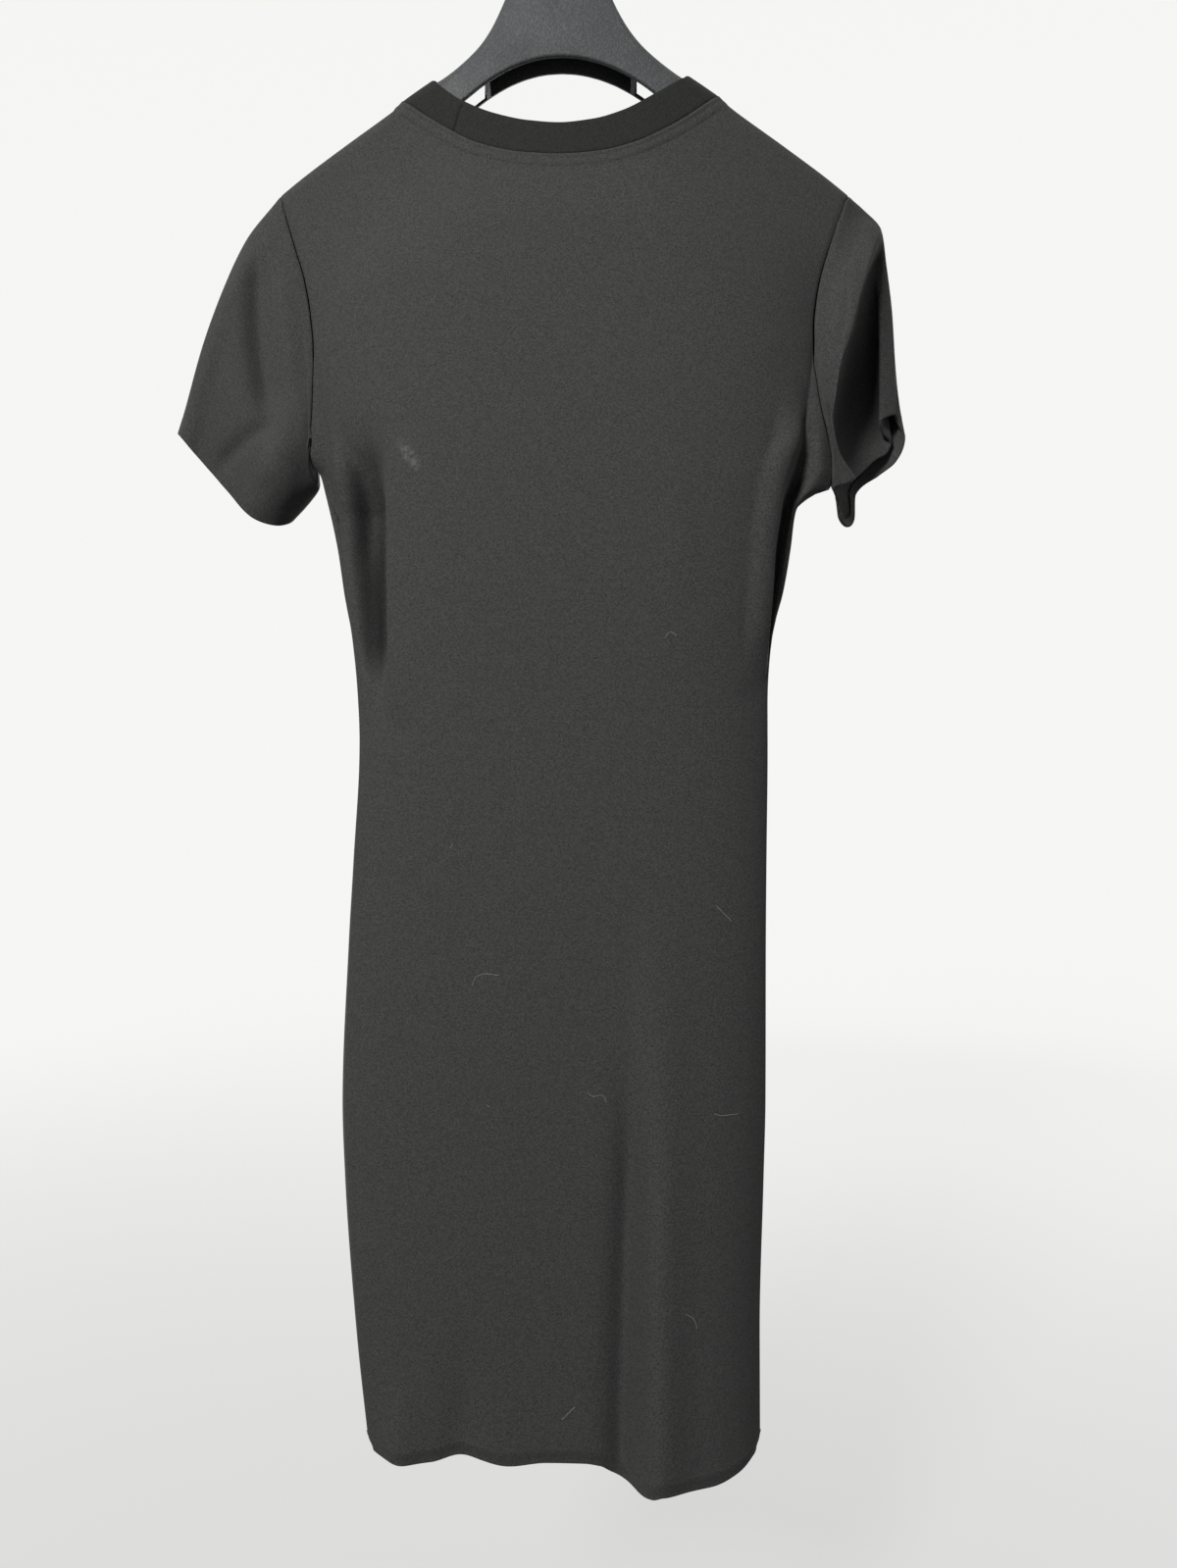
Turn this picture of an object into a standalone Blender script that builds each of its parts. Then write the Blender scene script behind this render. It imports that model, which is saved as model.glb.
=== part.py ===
"""Short-sleeved bodycon dress hung on a moulded hanger, with the back of the dress toward -Y.

Metres, +Z up. The origin is the inside top of the hanger's hook. Sizes below are millimetres.
Every piece of cloth is a thin wall: an open surface, worked out from the tables of sizes,
that a Solidify modifier gives its thickness.
"""
import math

import bmesh
import bpy
import numpy as np

MM = 0.001

# ---------------------------------------------------------------- driving sizes
PANEL_WALL = 1.2            # scuba knit, one layer
BAND_WALL = 2.0             # neckband, two layers
SIDE_GAP = 1.6              # between the middles of the two panels at a side seam
SHOULDER_GAP = 0.6          # between the two panels at a shoulder seam
SEAM_GAP = 0.4              # between a sleeve and the panels
BAND_GAP = 0.8              # between the neckband and the panels

HEM_Z = -1118.0             # level of the hem
YOKE_Z = -386.0             # above this, the columns of a panel run up to shoulder or neck
TIP_X = 203.0               # shoulder tip, from the middle
NECK_X = -2.5               # middle of the neck opening
NECK_HALF = 109.5           # half the width of the neck opening at the shoulders
BAND_TIP_HALF = 89.5        # the same at the free edge of the neckband
BAND_WIDTH = 21.0
BAND_PROUD = 0.75           # how far the band's middle stands off the panels' surface

ARM_HALF_DEPTH = 11.6       # half the thickness of the hanger's arm
WRAP = 13.1                 # radius of the cloth's middle where it turns over the arm
SHOULDER_SEAM = math.radians(38)   # where the shoulder seam lies on that turn, toward the back
ARM_BLEND_START = 28.0      # the cloth lies on the arm for this depth,
ARM_BLEND = 100.0           # and leaves it over this one

HOOK_RADIUS = 19.0          # inside the hook
HOOK_WIRE = 4.0
NECK_TOP_Z = -60.0          # top of the hanger's plastic neck


class Table:
    """Rows of sizes under named columns, read along smooth curves through the rows."""

    def __init__(self, columns, rows):
        names = columns.split()
        ordered = np.array(sorted(rows), float)
        self.keys = ordered[:, 0]
        self.columns = {name: ordered[:, i] for i, name in enumerate(names)}

    def at(self, name, key):
        return smooth_read(self.keys, self.columns[name], key)


def smooth_read(keys, values, key):
    """Value at a key on a curve through the points that never overshoots them."""
    keys = np.asarray(keys, float)
    values = np.asarray(values, float)
    key = min(max(key, keys[0]), keys[-1])
    i = min(int(np.searchsorted(keys, key, side="right")) - 1, len(keys) - 2)
    slopes = np.diff(values) / np.diff(keys)

    def tangent(k):
        if k == 0:
            return slopes[0]
        if k == len(keys) - 1:
            return slopes[-1]
        before, after = slopes[k - 1], slopes[k]
        if before * after <= 0:
            return 0.0
        return 2 * before * after / (before + after)

    width = keys[i + 1] - keys[i]
    t = (key - keys[i]) / width
    return ((1 + 2 * t) * (1 - t) ** 2 * values[i] + t * (1 - t) ** 2 * width * tangent(i)
            + t * t * (3 - 2 * t) * values[i + 1] + t * t * (t - 1) * width * tangent(i + 1))


def ease(t):
    """0 to 1 with level ends."""
    t = min(max(t, 0.0), 1.0)
    return t * t * (3 - 2 * t)


def mix(a, b, t):
    return a + (b - a) * t


# ---------------------------------------------------------------- tables of sizes
# Height by height, where the side seam (and above the armpit the armhole seam) runs.
LEFT_EDGE = Table("z x back front", (
    (-1118, -134.5, -6, -6), (-1041, -143.5, -4, -4), (-933, -152, -2, -2), (-879, -154, -1, -1),
    (-770, -150, 1, 1), (-715, -147, 2, 2), (-633, -143, 4, 4), (-605, -144, 5, 5),
    (-560, -148.5, 7, 7), (-525, -155, 9, 9), (-494, -160, 11, 11), (-453, -169.5, 13, 13),
    (-441, -173, 14, 14), (-434, -178.5, 10, 24), (-428, -180.5, 7, 31), (-414, -178, 5, 39),
    (-384, -176.4, 5, 44), (-356, -176, 7, 46), (-332, -178.3, 9, 47), (-304, -183.4, 12, 47),
    (-282, -190, 14.5, 46), (-253, -199, 16, 44), (-240, -203, 17, 43)))
RIGHT_EDGE = Table("z x back front", (
    (-1118, 135.5, -6, -6), (-1041, 135.5, -4, -4), (-933, 138.5, -2, -2), (-879, 140, -1, -1),
    (-770, 140.5, 1, 1), (-715, 141, 2, 2), (-633, 142, 4, 4), (-605, 142, 5, 5),
    (-562, 145, 7, 7), (-543, 149, 8, 8), (-525, 154, 9, 9), (-494, 159.5, 10, 10),
    (-471, 162.7, 12, 12), (-465, 164.2, 12, 12), (-459, 170.5, 13, 13), (-454, 178.5, 13, 13),
    (-450, 189, 14, 14), (-441, 189.5, 12, 22), (-432, 189, 11, 29), (-417, 185.3, 7, 37),
    (-400, 180.8, 5, 41), (-380, 177.3, 5, 44), (-360, 175, 7, 46), (-340, 175, 8, 47),
    (-320, 177, 10, 47), (-299, 181.3, 13, 47), (-276, 188.7, 15, 46), (-256, 195.7, 16, 44),
    (-240, 203, 17, 43)))
LEFT_ARMPIT_Z = -441.0
RIGHT_ARMPIT_Z = -450.0

# Middle of the two panels, and how full and how round the sides of the tube are.
MIDDLE = Table("z back front fullness roundness", (
    (-1118, -27, 30, 3.0, 2.0), (-1041, -29, 32, 3.0, 2.0), (-933, -32, 35, 2.8, 2.0),
    (-770, -34, 38, 2.8, 2.0), (-633, -33, 36, 2.8, 2.0), (-525, -34, 37, 3.0, 2.0),
    (-450, -33, 39, 3.0, 2.0), (-430, -32.5, 39.5, 3.0, 1.7), (-386, -31, 40, 3.0, 1.35),
    (-340, -29, 39, 2.8, 1.2), (-300, -27, 38, 2.6, 1.1), (-231, -22, 34, 2.2, 1.0)))

# The plain tube between those edges: its half widths and the depths of its two sides.
TUBE = Table("z left right back front", (
    (-1118, 134.5, 135.5, -6, -6), (-1041, 143.5, 135.5, -4, -4), (-933, 152, 138.5, -2, -2),
    (-879, 154, 140, -1, -1), (-770, 150, 140.5, 1, 1), (-715, 147, 141, 2, 2),
    (-633, 143, 142, 4, 4), (-605, 144, 142, 5, 5), (-560, 148, 144.5, 7, 7),
    (-525, 153, 149, 9, 9), (-480, 158, 155, 10, 16), (-440, 163, 162, 9, 28),
    (-400, 169, 169, 7, 39), (-360, 175, 174, 8, 44), (-320, 181, 178, 10, 46),
    (-282, 190, 187, 14, 46), (-240, 203, 203, 17, 43)))
EDGE_REACH = 16.0           # how far in from its edge a panel bends to meet that edge

# The hollow beside each armpit of the back: a ridge, a valley and a wall up to a sharp edge.
LEFT_FOLD = Table("z ridge ridge_y valley valley_y wall wall_y edge edge_y hold", (
    (-1118, -127, 0, -119, 0, -110, 0, -100, 0, 0), (-640, -136, 0, -129, 0, -122, 0, -113, 0, 0),
    (-593, -138.5, -7, -127, -14, -123.5, -17, -119, -20, 0.3),
    (-562, -142, -3, -131, -4, -127.5, -8, -123, -17, 1),
    (-527, -148, -1, -140, 4, -128, -1, -120, -20, 1),
    (-497, -153, 1, -142, 8, -128, 0, -120.5, -20, 1),
    (-474, -156, 2, -141.5, 8, -128, 0, -120.5, -20, 1),
    (-446, -162, 2, -144, 7, -127, -4, -120.5, -20, 0.9),
    (-423, -165.5, 1, -153, 6, -126, -10, -120, -20, 0.6),
    (-400, -168.5, 1, -160, 4, -126, -13, -119.5, -20, 0.3),
    (-340, -170, 0, -160, 0, -132, 0, -119, 0, 0)))
RIGHT_FOLD = Table("z edge edge_y groove groove_y lip lip_y hold", (
    (-1118, 105, 0, 118, 0, 129, 0, 0), (-615, 130, 0, 136, 0, 139.5, 0, 0),
    (-578, 139.5, -8, 141.5, 0, 142.6, 3, 0.5), (-550, 141.5, -14, 145, 1, 146.3, 3, 1),
    (-527, 143, -17, 149.5, 5, 152, 4, 1), (-497, 144.6, -19, 153, 8, 156.5, 6, 1),
    (-472, 148, -20, 157, 10, 160.5, 8, 1), (-461, 149.5, -20, 159, 10, 164, 8, 1),
    (-455, 150.5, -20, 160.5, 10, 170, 8, 1), (-438, 155.5, -19, 165, 9, 178.5, 6, 1),
    (-419, 162, -14, 170, 6, 178, 4, 0.9), (-398, 163, -9, 169, 2, 176, 3, 0.4),
    (-360, 150, 0, 160, 0, 168, 0, 0)))

# Soft folds that hang to the hem of the back: where each lies at the hem and at its top,
# its half width, how far it pushes the cloth (minus is toward the back) and its top.
HANGING_FOLDS = (
    # x_hem  x_top  width  push   top
    (-112, -112, 12, -5, -1050),
    (-69, -66, 13, 8, -1010),
    (28, 36, 9, 4, -690),
    (58, 60, 24, -20, -700),
    (96, 92, 26, -16, -720),
)
BACK_HEM = Table("x z", (
    (-134.5, -1119), (-115, -1122), (-90, -1120), (-70, -1116), (-57, -1118), (-37, -1121),
    (-12, -1118.5), (24, -1119.5), (34, -1124), (46, -1128), (60, -1129), (83, -1126.5),
    (102, -1125.5), (121, -1122.5), (133, -1120), (135.5, -1118)))

# Ridge of the cloth over the hanger's arms, by distance from the middle.
RIDGE = Table("x z", (
    (0, -152), (60, -154), (75, -162), (91, -171), (112, -183.5), (122, -190),
    (154, -208.5), (186, -226.7), (203, -237)))

# Neckline of the back: the seam of the band, and the band's free edge above it.
BACK_NECK = Table("x z edge_x edge_z", (
    (-112, -186.4, -92, -174.5), (-89, -203, -73, -189.5), (-57, -222, -48, -201.5),
    (-28, -229.3, -24, -207.5), (-3, -231, -3, -209.3), (24, -228.5, 20, -206.5),
    (49, -221, 41, -199.5), (75, -206.5, 62, -187.5), (107, -183.4, 87, -171.6)))
FRONT_NECK_LOW = -270.0     # lowest point of the front's neck seam
FRONT_EDGE_LOW = -250.0     # lowest point of the band's free edge there
NECK_TURN = 9.0             # how far the neckline comes inward while it crosses the arm

# Lines of a sleeve from the armhole to the cuff. `seam` is where a line starts on the
# armhole: 0 on the shoulder, 0.5 in the armpit, and up the front back to 1.
LEFT_SLEEVE = (
    # seam   cap                middle             cuff
    (0.00, (-231.5, 32, -272), (-258.5, 36, -342), (-279.5, 33, -406)),
    (0.12, (-213.5, 12, -287), (-235, 8, -363), (-258, 14, -429)),
    (0.25, (-195.5, 2, -352), (-213, -4, -405), (-235.5, 3, -454)),
    (0.38, (-184.7, 0, -414), (-194.5, -2, -442), (-219, 7, -472)),
    (0.46, (-180.5, 6, -438), (-183.5, 9, -453), (-203.5, 17, -475.5)),
    (0.52, (-178.5, 18, -442), (-183, 26, -449), (-197, 31, -464)),
    (0.62, (-184, 46, -420), (-199, 51, -432), (-219, 52, -442)),
    (0.75, (-193, 54, -353), (-222, 60, -390), (-246, 57, -428)),
    (0.88, (-214, 52, -286), (-244, 60, -352), (-268, 51, -412)),
)
RIGHT_SLEEVE = (
    # seam   cap                ridge             recess             cuff
    (0.00, (216, 31, -245), (230, 33, -257), (238, 42, -315), (245, 50, -389)),
    (0.07, (214, 22, -260), (224, 20, -270), (232, 35, -326), (232, 42, -399)),
    (0.14, (198, 11, -294), (211, 4, -304), (226, 35, -354), (238, 32, -417)),
    (0.24, (187, 1, -339), (198, -6, -343), (213, 32, -376), (223, 24, -427)),
    (0.33, (183, -2, -382), (188, -8, -384), (201, 22, -408), (212, 13, -437)),
    (0.40, (187, 3, -407), (189, -1, -410), (194, 4, -428), (202, 2, -446)),
    (0.46, (191.5, 11, -437), (192, 10, -442), (192, 9, -447), (191, 9, -452)),
    (0.51, (192, 17, -451), (194, 24, -455), (199, 32, -462), (204, 38, -471)),
    (0.57, (195, 29, -444), (202, 42, -442), (209, 52, -442), (215, 58, -443)),
    (0.66, (197, 44, -412), (210, 54, -415), (223, 60, -423), (233, 62, -429)),
    (0.79, (197, 53, -332), (214, 62, -359), (234, 64, -388), (247, 60, -417)),
    (0.92, (204, 47, -262), (221, 56, -287), (238, 60, -344), (253, 57, -401)),
)

# Hanger, by distance from the middle: top and bottom of its plastic body.
HANGER = Table("x top low", (
    (0, -60, -160.3), (9, -62, -160.8), (16, -68, -161.8), (22, -78, -163.2), (27, -90, -164.6),
    (32, -103, -166.4), (36.2, -114, -168), (41.3, -125, -170.4), (47.5, -136, -173.7),
    (56, -147, -178.9), (68.3, -158, -187.9), (82.6, -167.8, -198), (91, -172.1, -203),
    (112, -184.6, -215), (154, -209.6, -235), (186, -227.8, -247), (203, -238.1, -256)))
HANGER_STATIONS = (0, 9, 16, 22, 27, 32, 36.2, 41.3, 47.5, 56, 68.3, 82.6, 91, 100, 112, 122, 133,
                   144, 154, 165, 176, 186, 192, 197, 200.5, 202.5, 203)
ARM_NOSE = 186.0            # from here to its end the arm rounds off
HANGER_LEAN = -3.5          # the plastic neck leans this far at its top
CHANNEL = (55, 75, 95, 115, 135, 150)   # stations of the channel under each arm
CHANNEL_HALF = 8.0
CHANNEL_HEIGHT = 14.0
RAIL_HEIGHT = 5.0           # of the thin rail below the window at the front of the arm

BACK_LEFT = (0, 0.25, 1, 1.5, 2, 2.5, 3, 3.5)             # columns along the left fold lines
BACK_RIGHT = (5.4, 6, 6.5, 7, 7.75, 8)                    # and along the right ones
BACK_NECK_PLACES = (0, 0.01, 0.023, 0.045, 0.09, 0.16, 0.24, 0.32, 0.41, 0.5,
                    0.59, 0.68, 0.76, 0.84, 0.91, 0.955, 0.977, 0.99, 1)
FRONT_SIDE = (1.0, 0.988, 0.95, 0.87, 0.78, 0.69, 0.60)  # columns that end on a shoulder
FRONT_TURN = (0.58, 0.56, 0.54, 0.52, 0.50, 0.48)         # that end where the neck crosses the arm
FRONT_MIDDLE = 9                                          # that end on the front neckline
LOW_ROWS = (-1085, -1040, -985, -930, -875, -820, -765, -715, -665, -625, -592, -562, -530, -500,
            -478, -465, -458, -454, -450, -441, -432, -420, -403, -386)
WALL_ROWS = 7               # rows of a panel from the yoke to where it meets the arm
CAP_ROWS = 7                # rows of the front over the arm
SEAM_ROWS = 4               # rows of the back up to the shoulder seam
CAP_SHARE = 0.1             # least share of a column that those last rows take


# ---------------------------------------------------------------- the two panels
def ridge_z(x):
    return RIDGE.at("z", abs(x))


def arm_y(x):
    """Depth of the hanger's arm, which curves toward the front of the wearer."""
    return -2 + 32 * (x / TIP_X) ** 2


def edge_at(x_side, name, z):
    table = LEFT_EDGE if x_side < 0 else RIGHT_EDGE
    return table.at(name, z)


def tube_depth(x, z, face):
    """Depth of the plain tube of the body; face is 'back' or 'front'."""
    half = TUBE.at("left" if x < 0 else "right", z)
    side_y = TUBE.at(face, z)

    def plain(place):
        reach = min(abs(place) / half, 1.0)
        bulge = (1 - reach ** MIDDLE.at("fullness", z)) ** (1 / MIDDLE.at("roundness", z))
        return mix(side_y, MIDDLE.at(face, z), bulge)

    edge_x = edge_at(x, "x", z)
    inward = (abs(edge_x) - abs(x)) / EDGE_REACH
    return plain(x) + (edge_at(x, face, z) - plain(edge_x)) * math.exp(-inward ** 2)


def side_fold(x, z):
    """How far the hollow beside an armpit sets the back in or out."""
    table, lines = (LEFT_FOLD, ("ridge", "valley", "wall", "edge")) if x < 0 else (
        RIGHT_FOLD, ("lip", "groove", "edge"))
    hold = table.at("hold", z)
    if hold <= 0:
        return 0.0
    places = [edge_at(x, "x", z)]
    offsets = [0.0]
    for line in lines:
        line_x = table.at(line, z)
        places.append(line_x)
        offsets.append(hold * (table.at(line + "_y", z) - tube_depth(line_x, z, "back")))
    places.append(places[-1] - math.copysign(18, x))
    offsets.append(0.0)
    if x > 0:
        places.reverse()
        offsets.reverse()
    return smooth_read(places, offsets, x)


def hanging_fold(x, z):
    push = 0.0
    for x_hem, x_top, width, depth, top in HANGING_FOLDS:
        down = ease((top - z) / (top - HEM_Z))
        push += depth * down * math.exp(-((x - mix(x_top, x_hem, down)) / width) ** 2)
    return push


def wrap_depth(drop):
    """Half depth of the turn over the arm, at this drop below the ridge."""
    return WRAP if drop >= WRAP else math.sqrt(max(WRAP ** 2 - (WRAP - drop) ** 2, 0))


def panel_depth(x, z, face):
    """Depth of a panel: on the arm just below the ridge, on the tube further down."""
    tube = tube_depth(x, z, face)
    if face == "back":
        tube += side_fold(x, z) + hanging_fold(x, z)
    drop = ridge_z(x) - z
    side = -1 if face == "back" else 1
    on_arm = arm_y(x) + side * wrap_depth(max(drop, 0))
    return mix(on_arm, tube, ease((drop - ARM_BLEND_START) / ARM_BLEND))


def seam_angle(face):
    """Where a panel ends on the turn over the arm, half a gap short of the shoulder seam."""
    half_gap = SHOULDER_GAP / 2 / WRAP
    return SHOULDER_SEAM + half_gap if face == "back" else SHOULDER_SEAM - half_gap


def on_arm(x, angle):
    """Point on the turn over the arm; angle 0 is the ridge and plus is toward the back."""
    return (x, arm_y(x) - WRAP * math.sin(angle), ridge_z(x) - WRAP * (1 - math.cos(angle)))


def back_line_x(c, z):
    """Place of a column of the back, numbered along its fold lines, at a height."""
    left = [edge_at(-1, "x", z)] + [LEFT_FOLD.at(n, z) for n in ("ridge", "valley", "wall", "edge")]
    right = [RIGHT_FOLD.at(n, z) for n in ("edge", "groove", "lip")] + [edge_at(1, "x", z)]
    lines = left + right
    i = min(int(c), len(lines) - 2)
    return mix(lines[i], lines[i + 1], c - i)


def back_columns():
    """Columns of the back: place among the fold lines, then x and angle or height at the top."""
    left_tip, right_tip = NECK_X - NECK_HALF, NECK_X + NECK_HALF
    last = len(BACK_NECK_PLACES) - 1
    columns = [(c, mix(-TIP_X, left_tip, c / 4), seam_angle("back"), None) for c in BACK_LEFT]
    for k, place in enumerate(BACK_NECK_PLACES):
        x = mix(left_tip, right_tip, place)
        z = BACK_NECK.at("z", x)
        drop = ridge_z(x) - z
        if k in (0, last):
            columns.append((4 + place, x, seam_angle("back"), None))
        elif drop < WRAP:
            columns.append((4 + k / last, x, math.acos(1 - drop / WRAP), None))
        else:
            columns.append((4 + k / last, x, None, z))
    columns += [(c, mix(right_tip, TIP_X, (c - 5) / 3), seam_angle("back"), None) for c in BACK_RIGHT]
    return columns


def front_neck(theta, inset):
    """Point of the front neckline, theta from 0 at the right to pi at the left."""
    start = NECK_HALF - NECK_TURN
    low = FRONT_NECK_LOW
    if inset:
        start = BAND_TIP_HALF - NECK_TURN
        low = FRONT_EDGE_LOW
    x = NECK_X + start * math.cos(theta)
    high = ridge_z(NECK_X + start) - WRAP
    return x, mix(high, low, math.sin(theta))


def column_rows(x_low, x_top, angle, top_z, face, cap_rows):
    """Points of one column from the yoke up to the shoulder or the neckline."""
    side = 1 if face == "back" else -1
    if angle is None:
        wall, arc = top_z - YOKE_Z, 0.0
        widest = abs(edge_at(x_top, "x", top_z))
    else:
        wall = ridge_z(x_top) - WRAP - YOKE_Z
        arc = WRAP * (math.pi / 2 - side * angle)
        widest = TIP_X
    total = wall + arc
    cap = max(arc, CAP_SHARE * total)
    steps = [(total - cap) * k / WALL_ROWS for k in range(1, WALL_ROWS + 1)]
    steps += [total - cap + cap * k / cap_rows for k in range(1, cap_rows + 1)]
    ratio_low = x_low / abs(edge_at(x_low, "x", YOKE_Z))
    ratio_top = x_top / widest
    points = []
    for step in steps:
        ratio = mix(ratio_low, ratio_top, ease(step / total))
        if step > wall + 1e-6:
            points.append(on_arm(ratio * TIP_X, side * (math.pi / 2 - (step - wall) / WRAP)))
            continue
        z = YOKE_Z + step
        x = ratio * abs(edge_at(ratio, "x", z))
        points.append((x, panel_depth(x, z, face), z))
    return points


def back_grid():
    columns = []
    for c, x_top, angle, top_z in back_columns():
        points = []
        for z in (HEM_Z,) + LOW_ROWS:
            x = back_line_x(c, z)
            drop = (BACK_HEM.at("z", x) - HEM_Z) * ease((z + 1030) / (HEM_Z + 1030))
            points.append((x, panel_depth(x, z, "back"), z + drop))
        points += column_rows(back_line_x(c, YOKE_Z), x_top, angle, top_z, "back", SEAM_ROWS)
        columns.append(points)
    return columns


def front_columns():
    """Columns of the front: ratio of the half width, then where each one ends."""
    half = []
    for k, ratio in enumerate(FRONT_SIDE):
        x_top = mix(TIP_X, NECK_HALF, k / (len(FRONT_SIDE) - 1))
        half.append((ratio, x_top, seam_angle("front"), None))
    for k, ratio in enumerate(FRONT_TURN):
        turn = (k + 1) / len(FRONT_TURN)
        angle = mix(seam_angle("front"), -math.pi / 2, turn)
        half.append((ratio, NECK_HALF - NECK_TURN * turn, angle, None))
    last_tip = len(FRONT_SIDE) - 1
    left = [(-r, -x + NECK_X * min(k / last_tip, 1), a, z) for k, (r, x, a, z) in enumerate(half)]
    right = [(r, x + NECK_X * min(k / last_tip, 1), a, z) for k, (r, x, a, z) in enumerate(half)]
    middle = []
    for k in range(1, FRONT_MIDDLE + 1):
        theta = math.pi * (1 - k / (FRONT_MIDDLE + 1))
        x, z = front_neck(theta, inset=False)
        middle.append((FRONT_TURN[-1] * math.cos(theta), x, None, z))
    return left + middle + right[::-1]


def front_grid():
    columns = []
    for ratio, x_top, angle, top_z in front_columns():
        points = []
        for z in (HEM_Z,) + LOW_ROWS:
            x = abs(ratio) * edge_at(ratio, "x", z)
            points.append((x, panel_depth(x, z, "front"), z))
        x_low = abs(ratio) * edge_at(ratio, "x", YOKE_Z)
        points += column_rows(x_low, x_top, angle, top_z, "front", CAP_ROWS)
        columns.append(points)
    return columns


# ---------------------------------------------------------------- sleeves and neckband
def armhole_loop(back, front, armpit_z):
    """Points of an armhole and their places on it: 0 on the ridge, 0.5 in the armpit."""
    back_part = [p for p in reversed(back) if p[2] >= armpit_z]
    front_part = [p for p in front if p[2] >= armpit_z]
    loop = [np.array(p, float) for p in back_part + front_part[1:-1]]
    steps = [np.linalg.norm(b - a) for a, b in zip(loop, loop[1:] + loop[:1])]
    travel = np.concatenate(([0], np.cumsum(steps)))
    armpit = travel[len(back_part) - 1]
    ridge = travel[-1] - WRAP * SHOULDER_SEAM
    down = armpit + travel[-1] - ridge
    places = [0.5 * (t + travel[-1] - ridge) / down if t <= armpit
              else 0.5 + 0.5 * (t - armpit) / (ridge - armpit) for t in travel[:-1]]
    return loop, [place % 1.0 for place in places]


def seam_start(loop, k, lead, inside):
    """Start of a sleeve line: off the armhole by a gap that keeps two angled walls apart."""
    along = loop[(k + 1) % len(loop)] - loop[k - 1]
    along /= np.linalg.norm(along)
    across = lead - along * (lead @ along)
    across /= np.linalg.norm(across)
    panel = loop[k] - inside
    panel -= along * (panel @ along)
    panel /= np.linalg.norm(panel)
    turn = math.acos(max(-0.3, min(1.0, float(panel @ across))))
    return loop[k] + across * (SEAM_GAP + PANEL_WALL * math.tan(turn / 2))


def closed_read(places, values, place):
    """Read a closed loop of points at a place from 0 to 1, on a smooth curve."""
    count = len(places)
    keys = [places[i % count] + i // count - 1 for i in range(3 * count)]
    loop = [values[i % count] for i in range(3 * count)]
    i = int(np.searchsorted(keys, place, side="right")) - 1
    t = (place - keys[i]) / (keys[i + 1] - keys[i])
    before, start, end, after = (np.array(loop[i + k], float) for k in (-1, 0, 1, 2))
    span = keys[i + 1] - keys[i]
    out = (end - before) / (keys[i + 1] - keys[i - 1]) * span
    into = (after - start) / (keys[i + 2] - keys[i]) * span
    return ((1 + 2 * t) * (1 - t) ** 2 * start + t * (1 - t) ** 2 * out
            + t * t * (3 - 2 * t) * end + t * t * (t - 1) * into)


def sleeve_grid(x_side, lines, back, front, along):
    """Closed rings of a sleeve from the armhole to the cuff."""
    places = [line[0] for line in lines]
    stations = len(lines[0]) - 1
    rings = [[] for _ in range(along + 1)]
    column, beside = (0, 1) if x_side < 0 else (-1, -2)
    armpit_z = LEFT_ARMPIT_Z if x_side < 0 else RIGHT_ARMPIT_Z
    loop, seams = armhole_loop(back[column], front[column], armpit_z)
    inner, _ = armhole_loop(back[beside], front[beside], armpit_z)
    for k, seam in enumerate(seams):
        knots = [closed_read(places, [line[1 + s] for line in lines], seam) for s in range(stations)]
        knots.insert(0, seam_start(loop, k, knots[0] - loop[k], inner[k]))
        lengths = np.cumsum([0] + [np.linalg.norm(b - a) for a, b in zip(knots, knots[1:])])
        for ring in range(along + 1):
            travel = lengths[-1] * ring / along
            rings[ring].append(tuple(smooth_read(lengths, [p[axis] for p in knots], travel)
                                     for axis in range(3)))
    return rings


def band_grid():
    """Rows of the neckband: its seam, its middle and its free edge, each a closed loop."""
    proud = BAND_PROUD
    turn_count, front_count = len(FRONT_TURN), FRONT_MIDDLE + 1
    rows = []
    for across in (BAND_GAP / BAND_WIDTH, 0.5, 1.0):
        loop = []
        for place in BACK_NECK_PLACES:
            x = mix(NECK_X - NECK_HALF, NECK_X + NECK_HALF, place)
            px = mix(x, BACK_NECK.at("edge_x", x), across)
            pz = mix(BACK_NECK.at("z", x), BACK_NECK.at("edge_z", x), across)
            if place in (0, 1):
                loop.append(lifted(px, SHOULDER_SEAM, proud))
            else:
                loop.append((px, panel_depth(px, pz, "back") - proud, pz))
        tip = mix(NECK_HALF, BAND_TIP_HALF, across)
        turns = [(tip - NECK_TURN * k / turn_count, mix(SHOULDER_SEAM, -math.pi / 2, k / turn_count))
                 for k in range(1, turn_count + 1)]
        loop += [lifted(NECK_X + reach, angle, proud) for reach, angle in turns]
        for k in range(1, front_count):
            theta = math.pi * k / front_count
            seam_x, seam_z = front_neck(theta, inset=False)
            edge_x, edge_z = front_neck(theta, inset=True)
            px, pz = mix(seam_x, edge_x, across), mix(seam_z, edge_z, across)
            loop.append((px, panel_depth(px, pz, "front") + proud, pz))
        loop += [lifted(NECK_X - reach, angle, proud) for reach, angle in reversed(turns)]
        rows.append(loop)
    return rows


def lifted(x, angle, proud):
    """Point over the arm, raised off the panel's surface."""
    px, py, pz = on_arm(x, angle)
    return (px, py - proud * math.sin(angle), pz + proud * math.cos(angle))


# ---------------------------------------------------------------- making meshes
def material(name, colour, roughness, metallic=0.0):
    made = bpy.data.materials.new(name)
    made.use_nodes = True
    shader = made.node_tree.nodes["Principled BSDF"]
    shader.inputs["Base Color"].default_value = (*colour, 1)
    shader.inputs["Roughness"].default_value = roughness
    shader.inputs["Metallic"].default_value = metallic
    return made


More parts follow.
